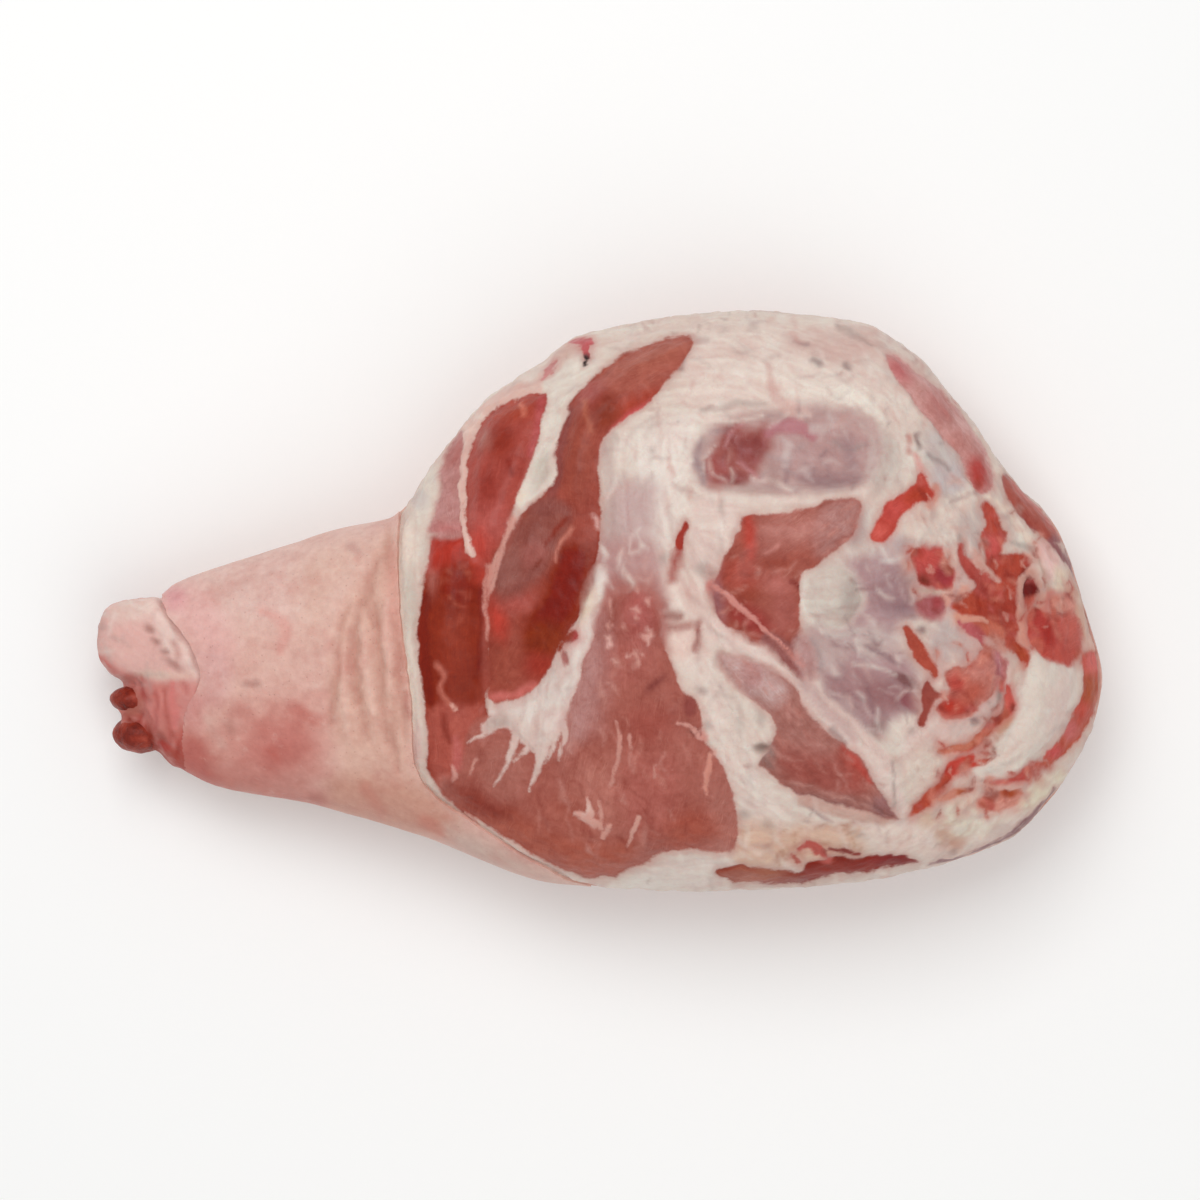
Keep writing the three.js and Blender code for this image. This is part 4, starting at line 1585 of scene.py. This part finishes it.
def layFolds():
    for rise, widths, *points in folds["lines"]:
        depth = stroke([w * folds["widen"] for w in widths], *points)
        face["fold"] += folds["raise"] * rise * smoothStep(-2.5, 3.0, depth)
        # painted shade in the hollow of each fold, a painted highlight on each crest
        if rise < 0:
            tint("rindTone", depth - 1, folds["hollow"], 2.2, 0.55)
        else:
            tint("rindTone", depth - 1, folds["crest"], 1.8, 0.6)


for stage in (
    paintFatPads, paintHock, paintShank, paintInnerThigh, paintCurvedMuscle, paintHip,
    paintSlenderMuscle, paintRim, paintButt, paintWisps, paintRindColour, layFolds,
):
    stage()
print("meat face painted")


# Relief in mm: how coarse and how high the lumps are, in fat and in rind
relief = {
    "coarse": (14.0, 0.9),
    "fine": (5.5, 0.4),
    "inLean": 0.5,  # share of the lumps that lean has
    "leanSink": 0.4,
    "seam": (0.35, 1.6),  # depth and half width of the seam about each muscle
    "streak": 0.07,
    "rindWaves": (22.0, 0.35),
}


def raiseRelief():
    inLean = smoothStep(-0.8, 0.8, face["lean"])
    bare = smoothStep(1.0, -2.0, face["rind"]) * face["seen"]
    pairs = enumerate((relief["coarse"], relief["fine"]))
    lumps = sum(high * unevenness(co, size, seed) for seed, (size, high) in pairs)
    lumps += relief["streak"] * face["streak"]
    deep, half = relief["seam"]
    height = face["rise"] + lumps * (1 - (1 - relief["inLean"]) * inLean)
    height -= relief["leanSink"] * inLean
    height = (height - deep * np.exp(-((face["lean"] / half) ** 2))) * bare
    size, high = relief["rindWaves"]
    height += face["fold"] * smoothStep(0, 2, face["rind"])
    waves = high * unevenness(co, size, 4.0) * smoothStep(0, 4, face["rind"])
    height += waves * smoothStep(8, 20, co[:, 2])
    moved = co + normals * height[:, None]
    moved[:, 2] = np.maximum(moved[:, 2], 0)
    return moved


co = raiseRelief()
setPoints(body.data, co)


def storeFace(mesh):
    storeNumber(mesh, "leanDepth", face["lean"])
    storeNumber(mesh, "edgeBlur", face["blur"])
    storeNumber(mesh, "film", face["film"])
    storeNumber(mesh, "streak", face["streak"])
    storeNumber(mesh, "rindDepth", face["rind"])
    storeVector(mesh, "grain", face["grain"])
    for layer in layers:
        storeColour(mesh, layer, np.maximum(face[layer] - leg["glossVeil"], leg["darkest"]))


storeFace(body.data)


# The rind: a skin cut from the body's own surface, given a wall and a cut edge


def makeRind():  # its edge points are moved onto the edge, and the faces outside it deleted
    selectOnly(body)
    bpy.ops.object.duplicate()
    skin = bpy.context.object
    skin.name = skin.data.name = "rind"
    mesh = skin.data
    depth = np.empty(len(mesh.vertices), np.float32)
    mesh.attributes["rindDepth"].data.foreach_get("value", depth)
    spots = pointsOf(mesh)
    ends = np.empty(len(mesh.edges) * 2, np.int32)
    mesh.edges.foreach_get("vertices", ends)
    a, b = ends.reshape(-1, 2).T
    crossing = (depth[a] > 0) != (depth[b] > 0)
    a, b = a[crossing], b[crossing]
    share = depth[a] / (depth[a] - depth[b])
    target = spots[a] + (spots[b] - spots[a]) * share[:, None]
    mover = np.where(share < 0.5, a, b)
    total, hits = np.zeros((len(spots), 3)), np.zeros(len(spots))
    np.add.at(total, mover, target)
    np.add.at(hits, mover, 1)
    moved = hits > 0
    spots[moved] = total[moved] / hits[moved][:, None]
    depth[moved] = 0
    setPoints(mesh, spots)
    corners = np.empty(len(mesh.polygons) * 3, np.int32)
    mesh.polygons.foreach_get("vertices", corners)
    depth = depth[corners.reshape(-1, 3)]
    pickFaces(skin, (depth < 0).any(1) | (depth <= 0).all(1))
    bpy.ops.object.mode_set(mode="EDIT")
    bpy.ops.mesh.select_mode(type="FACE")
    bpy.ops.mesh.delete(type="FACE")
    bpy.ops.mesh.select_all(action="SELECT")
    bpy.ops.mesh.remove_doubles(threshold=rind["mergeWithin"] / 1000)
    bpy.ops.object.mode_set(mode="OBJECT")
    wall = rind["thick"] / 1000
    applyModifier(skin, "SOLIDIFY", thickness=wall, offset=-1.0, use_rim=True, material_offset_rim=1)
    return skin


skin = makeRind()
print("rind cut:", len(skin.data.polygons), "faces")


def sinkUnderRind():  # the flesh steps down beside the rind and lies clear under it
    u, v = planOf(co)
    acrossU, acrossV = rind["flush"]
    flush = smoothStep(*acrossU, u) * smoothStep(*acrossV, v)
    depth = face["rind"] - 1.1 * flush
    under = smoothStep(4.6 * flush - 5.0, 1.1 * flush - 0.5, depth)
    inset = 0.75 * rind["thick"] * under + 0.5 * smoothStep(-0.5, 3.0, depth)
    moved = co - normalsOf(body.data) * inset[:, None]
    moved[:, 2] = np.maximum(moved[:, 2], 0.6)
    setPoints(body.data, moved)


sinkUnderRind()


def thinHidden():  # flesh well under the rind needs few triangles
    hidden = np.flatnonzero(face["rind"] > rind["hiddenFrom"]).tolist()
    body.vertex_groups.new(name="hidden").add(hidden, 1.0, "REPLACE")
    selectOnly(body)
    applyModifier(body, "DECIMATE", ratio=leg["keptShare"], vertex_group="hidden")
    body.vertex_groups.clear()


thinHidden()
print("body thinned:", len(body.data.polygons), "faces")


# Materials. Their noises are given as size in mm, detail and roughness.


def newMaterial(name):
    made = bpy.data.materials.new(name)
    made.use_nodes = True
    tree = made.node_tree
    tree.nodes.clear()
    place = node(tree, "TexCoord", {}, "Object")
    return made, tree, node(tree, "VectorMath", {"operation": "SCALE", 0: place, "Scale": 1000.0})


# Raw pork: moist lean with its fibres, white fat that is softly lumpy, and thin silver-skin.
# What it gives the eye is the sharp, ragged line where mottled lean meets streaky fat.
meatFinish = {
    "noises": {
        "ragged": (4.5, 5.0, 0.55),
        "frayed": (1.2, 3.0, 0.5),
        "blotch": (12.0, 5.0, 0.6),
        "mottle": (3.6, 5.0, 0.62),
        "fleck": (1.5, 3.0, 0.5),
        "lump": (3.0, 5.0, 0.6),
        "cloud": (15.0, 5.0, 0.62),
        "membrane": (6.5, 3.0, 0.5),
        "pit": (1.3, 2.0, 0.5),
    },
    "swirl": (11.0, 9.0),  # over how many mm and how far the noises are swirled about
    "ragged": 2.6,  # mm that the line wanders in large
    "frayed": 0.65,  # and in small
    "fibre": (14.0, 0.9, 1.0),  # length and width in mm
    "bundle": (45.0, 4.2, 1.0),
    "tints": {  # times the painted colour
        "leanTone": {"dark": (0.8, 0.66, 0.62), "light": (1.22, 1.42, 1.46), "thread": (1.35, 1.8, 1.85)},
        "fatTone": {"dull": (0.93, 0.83, 0.82), "cream": (1.06, 1.1, 1.09)},
    },
    "lines": {"bundle": (0.024, 0.4), "membrane": (0.04, 0.13)},  # how wide and how strong
    "membrane": "b58782",
    "pit": "94756f",
    "seamShadeAndBlood": "c48a80",  # blood along the edge of the lean, and painted shade of the seam there
}


def meatMaterial():
    made, tree, mm = newMaterial("rawPorkLeanAndFat")
    size, far = meatFinish["swirl"]
    swirl = node(tree, "TexNoise", {"Vector": mm, "Scale": 1 / size, "Detail": 3.0}, "Color")
    swirled = node(tree, "VectorMath", {"operation": "MULTIPLY_ADD", 0: swirl, 1: (far, far, far), 2: mm})
    field = {}
    for name, (size, detail, rough) in meatFinish["noises"].items():
        look = {"Vector": swirled, "Scale": 1 / size, "Detail": detail, "Roughness": rough}
        field[name] = node(tree, "TexNoise", look)
    grain = node(tree, "Attribute", {"attribute_name": "grain"}, "Vector")
    for name in ("fibre", "bundle"):
        stretch = tuple(1 / s for s in meatFinish[name])
        along = node(tree, "Mapping", {"Vector": grain, "Scale": stretch})
        look = {"Vector": along, "Scale": 1.0, "Detail": 4.0, "Roughness": 0.6, "Distortion": 0.35}
        field[name] = node(tree, "TexNoise", look)
    tone = {}
    for layer, tints in meatFinish["tints"].items():
        painted = node(tree, "Attribute", {"attribute_name": layer}, "Color")
        for name, factors in tints.items():
            tone[name] = node(tree, "VectorMath", {"operation": "MULTIPLY", 0: painted, 1: factors})
    patchy = node(tree, "MapRange", {0: field["cloud"], 1: 0.47, 2: 0.6})
    line = {}
    for name, (width, strength) in meatFinish["lines"].items():  # where a noise crosses its middle
        off = node(tree, "Math", {"operation": "SUBTRACT", 0: field[name], 1: 0.5})
        off = node(tree, "Math", {"operation": "ABSOLUTE", 0: off})
        off = node(tree, "MapRange", {0: off, 1: 0.0, 2: width, 3: strength, 4: 0.0})
        line[name] = node(tree, "Math", {"operation": "MULTIPLY", 0: off, 1: patchy})

    # where it is lean
    depth = node(tree, "Attribute", {"attribute_name": "leanDepth"}, "Fac")
    blur = node(tree, "Attribute", {"attribute_name": "edgeBlur"}, "Fac")
    for name in ("ragged", "frayed"):
        offset = node(tree, "Math", {"operation": "SUBTRACT", 0: field[name], 1: 0.5})
        depth = node(tree, "Math", {"operation": "MULTIPLY_ADD", 0: offset, 1: meatFinish[name], 2: depth})
    minus = node(tree, "Math", {"operation": "MULTIPLY", 0: blur, 1: -1.0})
    isLean = node(tree, "MapRange", {"interpolation_type": "SMOOTHSTEP", 0: depth, 1: minus, 2: blur})

    # lean: dark and light blotches over its fibres, pale flecks, and threads of fat between bundles
    blotch = node(tree, "Mix", {0: 0.45, 2: field["blotch"], 3: field["mottle"]})
    blotch = node(tree, "Mix", {0: 0.16, 2: blotch, 3: field["fibre"]})
    blotch = node(tree, "MapRange", {0: blotch, 1: 0.34, 2: 0.66})
    settings = {"data_type": "RGBA", 0: blotch, 6: tone["dark"], 7: tone["light"]}
    leanColour = node(tree, "Mix", settings, 2)
    fleck = node(tree, "MapRange", {0: field["fleck"], 1: 0.66, 2: 0.78, 3: 0.0, 4: 0.35})
    thread = node(tree, "Math", {"operation": "MAXIMUM", 0: line["bundle"], 1: fleck})
    settings = {"data_type": "RGBA", 0: thread, 6: leanColour, 7: tone["thread"]}
    leanColour = node(tree, "Mix", settings, 2)

    # fat: cream lumps with duller pink between them, streaks and thin lines of membrane
    streak = node(tree, "Attribute", {"attribute_name": "streak"}, "Fac")
    streak = node(tree, "MapRange", {0: streak, 1: -3.0, 2: 3.0})
    lumpy = node(tree, "Mix", {0: 0.5, 2: field["lump"], 3: field["cloud"]})
    lumpy = node(tree, "Mix", {0: 0.38, 2: lumpy, 3: streak})
    lumpy = node(tree, "MapRange", {0: lumpy, 1: 0.32, 2: 0.66})
    settings = {"data_type": "RGBA", 0: lumpy, 6: tone["dull"], 7: tone["cream"]}
    fatColour = node(tree, "Mix", settings, 2)
    pit = node(tree, "MapRange", {0: field["pit"], 1: 0.72, 2: 0.8, 3: 0.0, 4: 0.22})
    # painted seam shade, with a little blood, in the fat beside the lean
    beside = node(tree, "Math", {"operation": "ABSOLUTE", 0: depth})
    beside = node(tree, "MapRange", {0: beside, 1: 0.0, 2: 2.6, 3: 0.3, 4: 0.0})
    for name, share in (("membrane", line["membrane"]), ("pit", pit), ("seamShadeAndBlood", beside)):
        code = meatFinish[name]
        settings = {"data_type": "RGBA", 0: share, 6: fatColour, 7: colourSocket(code)}
        fatColour = node(tree, "Mix", settings, 2)
    colour = node(tree, "Mix", {"data_type": "RGBA", 0: isLean, 6: fatColour, 7: leanColour}, 2)

    # lean is glossier than fat, and silver-skin is the glossiest
    film = node(tree, "Attribute", {"attribute_name": "film"}, "Fac")
    leanRough = node(tree, "MapRange", {0: field["fibre"], 1: 0.3, 2: 0.7, 3: 0.32, 4: 0.46})
    fatRough = node(tree, "MapRange", {0: field["lump"], 1: 0.3, 2: 0.7, 3: 0.4, 4: 0.56})
    rough = node(tree, "Mix", {0: isLean, 2: fatRough, 3: leanRough})
    moist = node(tree, "MapRange", {0: film, 3: 1.0, 4: 0.72})
    rough = node(tree, "Math", {"operation": "MULTIPLY", 0: rough, 1: moist})
    leanHeight = node(tree, "Mix", {0: 0.75, 2: field["fibre"], 3: field["mottle"]})
    fatHeight = node(tree, "Math", {"operation": "SUBTRACT", 0: field["lump"], 1: pit})
    leanHeight = node(tree, "Math", {"operation": "MULTIPLY_ADD", 0: fleck, 1: 0.3, 2: leanHeight})
    height = node(tree, "Mix", {0: isLean, 2: fatHeight, 3: leanHeight})
    bump = node(tree, "Bump", {"Strength": 0.42, "Distance": 0.0009, "Height": height})
    surface = node(
        tree,
        "BsdfPrincipled",
        {
            "Base Color": colour,
            "Roughness": rough,
            "Normal": bump,
            "IOR": 1.4,
            "Specular IOR Level": 0.24,
            "Coat Weight": 0.06,
            "Coat Roughness": 0.25,
            "Subsurface Weight": 0.14,
            "Subsurface Scale": 0.0035,
            "Subsurface Radius": (1.0, 0.35, 0.22),
        },
    )
    node(tree, "OutputMaterial", {"Surface": surface})
    return made


# Pork rind: scalded and scraped skin, damp and waxy, with fine creases and hair pores.
rindFinish = {
    "noises": {
        "cloud": (20.0, 5.0, 0.6),
        "mottle": (5.0, 5.0, 0.62),
        "crease": (2.0, 5.0, 0.65),
        "flush": (27.0, 5.0, 0.6),
        "scrape": (9.0, 5.0, 0.66),
    },
    "poreApart": 3.2,  # mm
    "dull": (0.9, 0.82, 0.81),  # times the painted colour
    "pale": (1.07, 1.12, 1.12),
    "flush": "c4776c",
    "scrape": "e6cabd",
    "pore": "a5695c",
    "edge": "d3b0a2",
    "edgeFleck": 2.5,  # mm
}


def rindMaterial():
    made, tree, mm = newMaterial("scrapedPorkRind")
    field = {}
    for name, (size, detail, rough) in rindFinish["noises"].items():
        look = {"Vector": mm, "Scale": 1 / size, "Detail": detail, "Roughness": rough}
        field[name] = node(tree, "TexNoise", look)
    look = {"Vector": mm, "Scale": 1 / rindFinish["poreApart"], "Randomness": 0.9}
    pore = node(tree, "TexVoronoi", look, "Distance")
    pore = node(tree, "MapRange", {0: pore, 1: 0.06, 2: 0.15, 3: 1.0, 4: 0.0})
    tone = node(tree, "Attribute", {"attribute_name": "rindTone"}, "Color")
    dull = node(tree, "VectorMath", {"operation": "MULTIPLY", 0: tone, 1: rindFinish["dull"]})
    pale = node(tree, "VectorMath", {"operation": "MULTIPLY", 0: tone, 1: rindFinish["pale"]})
    mottle = node(tree, "Mix", {0: 0.45, 2: field["cloud"], 3: field["mottle"]})
    mottle = node(tree, "MapRange", {0: mottle, 1: 0.34, 2: 0.66})
    colour = node(tree, "Mix", {"data_type": "RGBA", 0: mottle, 6: dull, 7: pale}, 2)
    flush = node(tree, "MapRange", {0: field["flush"], 1: 0.54, 2: 0.72, 3: 0.0, 4: 0.35})
    scrape = node(tree, "MapRange", {0: field["scrape"], 1: 0.6, 2: 0.74, 3: 0.0, 4: 0.22})
    dotted = node(tree, "Math", {"operation": "MULTIPLY", 0: pore, 1: 0.3})
    for name, share in (("flush", flush), ("scrape", scrape), ("pore", dotted)):
        code = rindFinish[name]
        settings = {"data_type": "RGBA", 0: share, 6: colour, 7: colourSocket(code)}
        colour = node(tree, "Mix", settings, 2)
    height = node(tree, "Math", {"operation": "MULTIPLY_ADD", 0: pore, 1: -0.5, 2: field["crease"]})
    bump = node(tree, "Bump", {"Strength": 0.55, "Distance": 0.0007, "Height": height})
    surface = node(
        tree,
        "BsdfPrincipled",
        {
            "Base Color": colour,
            "Roughness": node(tree, "MapRange", {0: field["mottle"], 1: 0.3, 2: 0.7, 3: 0.42, 4: 0.58}),
            "Normal": bump,
            "IOR": 1.42,
            "Specular IOR Level": 0.35,
            "Coat Weight": 0.08,
            "Coat Roughness": 0.35,
            "Subsurface Weight": 0.16,
            "Subsurface Scale": 0.0035,
            "Subsurface Radius": (1.0, 0.4, 0.28),
        },
    )
    node(tree, "OutputMaterial", {"Surface": surface})
    return made


# The rind's cut edge: a firm, glassy line, cream inside and pink outside.
def rindEdgeMaterial():
    made, tree, mm = newMaterial("cutRindEdge")
    size = rindFinish["edgeFleck"]
    look = {"Vector": mm, "Scale": 1 / size, "Detail": 4.0, "Roughness": 0.6}
    fleck = node(tree, "TexNoise", look)
    tone = node(tree, "Attribute", {"attribute_name": "rindTone"}, "Color")
    blend = node(tree, "MapRange", {0: fleck, 1: 0.35, 2: 0.65, 3: 0.15, 4: 0.6})
    settings = {"data_type": "RGBA", 0: blend, 6: tone, 7: colourSocket(rindFinish["edge"])}
    colour = node(tree, "Mix", settings, 2)
    bump = node(tree, "Bump", {"Strength": 0.4, "Distance": 0.0006, "Height": fleck})
    look = {"Base Color": colour, "Roughness": 0.42, "Normal": bump, "IOR": 1.42}
    look |= {"Subsurface Weight": 0.15, "Subsurface Scale": 0.003}
    node(tree, "OutputMaterial", {"Surface": node(tree, "BsdfPrincipled", look)})
    return made


# The joint bone: dark, blood-soaked bone with a wet gloss and paler worn crowns.
boneFinish = {
    "blotch": 7.14,  # mm
    "pit": 1.25,
    "stops": ((0.34, "68190e"), (0.54, "90301f"), (0.72, "ad4835")),
}


def boneMaterial():
    made, tree, mm = newMaterial("bloodyJointBone")
    look = {"Vector": mm, "Scale": 1 / boneFinish["blotch"], "Detail": 5.0, "Roughness": 0.62}
    blotch = node(tree, "TexNoise", look)
    pit = node(tree, "TexNoise", {"Vector": mm, "Scale": 1 / boneFinish["pit"], "Detail": 3.0})
    stops = tree.nodes.new("ShaderNodeValToRGB")
    tree.links.new(blotch, stops.inputs["Fac"])
    ramp = stops.color_ramp
    ramp.elements.new(0.5)
    for element, (at, code) in zip(ramp.elements, boneFinish["stops"]):
        element.position = at
        element.color = colourSocket(code)
    bump = node(tree, "Bump", {"Strength": 0.6, "Distance": 0.0009, "Height": pit})
    look = {"Base Color": stops.outputs["Color"], "Roughness": 0.42, "Normal": bump, "IOR": 1.4}
    look |= {"Specular IOR Level": 0.28, "Coat Weight": 0.06, "Coat Roughness": 0.25}
    node(tree, "OutputMaterial", {"Surface": node(tree, "BsdfPrincipled", look)})
    return made


body.data.materials.append(meatMaterial())
for made in (rindMaterial(), rindEdgeMaterial()):
    skin.data.materials.append(made)


# The ankle bone: two knuckles on one neck, each given as centre and half sizes in mm
bone = {
    "knuckles": (
        ((-232.0, -49.5, 42.0), (13.8, 7.0, 11.4)),
        ((-231.0, -67.0, 40.0), (13.8, 9.1, 13.4)),
        ((-217.0, -59.0, 40.0), (16.0, 14.0, 9.5)),
    ),
    "meshSize": 0.7,  # mm
    "smoothRounds": 8,
    "swell": 0.45,  # mm, which the smoothing took
    "rough": (7.0, 0.6),  # mm across and high
}


def makeBone():
    made = []
    for centre, half in bone["knuckles"]:
        bpy.ops.object.select_all(action="DESELECT")
        place = Vector(centre) / 1000
        bpy.ops.mesh.primitive_uv_sphere_add(segments=40, ring_count=24, radius=1.0, location=place)
        knob = bpy.context.object
        knob.scale = Vector(half) / 1000
        bpy.ops.object.transform_apply(location=True, rotation=True, scale=True)
        made.append(knob)
    selectOnly(*made)
    bpy.ops.object.join()
    piece = bpy.context.object
    piece.name = piece.data.name = "ankle_joint_bone"
    voxel = bone["meshSize"] / 1000
    applyModifier(piece, "REMESH", mode="VOXEL", voxel_size=voxel, use_smooth_shade=True)
    applyModifier(piece, "SMOOTH", factor=0.5, iterations=bone["smoothRounds"])
    spots, out = pointsOf(piece.data), normalsOf(piece.data)
    size, high = bone["rough"]
    spots += out * (bone["swell"] + high * unevenness(spots, size, 6.0))[:, None]
    setPoints(piece.data, spots)
    return piece


ankle = makeBone()
ankle.data.materials.append(boneMaterial())

for piece in (body, skin, ankle):
    selectOnly(piece)
    bpy.ops.object.shade_smooth()
selectOnly(skin)
bpy.ops.object.shade_smooth_by_angle(angle=math.radians(55))

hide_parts("leg")
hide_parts("ankle_bone")
for piece, slot in ((body, "raw_pork"), (skin, "raw_pork"), (ankle, "bone")):
    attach(piece, "root")
print("pieces done")


# Floor, light and sky
studio = {
    "floor": "fbfbfa",
    "floorSize": 12.0,
    "aim": (0, 0, 0.05),
    "sky": 0.56,
    "softboxes": (((-0.35, 0.8, 1.8), 1.2, 16.0), ((0.5, -0.9, 1.7), 1.6, 7.0)),  # place, size, watts
}


def makeStudio():
    bpy.ops.object.select_all(action="DESELECT")
    bpy.ops.mesh.primitive_plane_add(size=studio["floorSize"], location=(0, 0, 0))
    floor = bpy.context.object
    floor.name = "paleFloor"
    made, tree, _ = newMaterial("palePaper")
    look = {"Base Color": colourSocket(studio["floor"]), "Roughness": 0.9, "Specular IOR Level": 0.1}
    node(tree, "OutputMaterial", {"Surface": node(tree, "BsdfPrincipled", look)})
    floor.data.materials.append(made)
    world = bpy.data.worlds.new("studioSky")
    world.use_nodes = True
    sky = world.node_tree.nodes["Background"]
    sky.inputs["Color"].default_value = (1, 1, 1, 1)
    sky.inputs["Strength"].default_value = studio["sky"]
    bpy.context.scene.world = world
    for place, size, power in studio["softboxes"]:
        bpy.ops.object.light_add(type="AREA", location=place)
        lamp = bpy.context.object
        lamp.data.size = size
        lamp.data.energy = power
        aim = Vector(studio["aim"]) - Vector(place)
        lamp.rotation_euler = aim.to_track_quat("-Z", "Y").to_euler()
    bpy.context.scene.view_settings.view_transform = "Standard"


makeStudio()
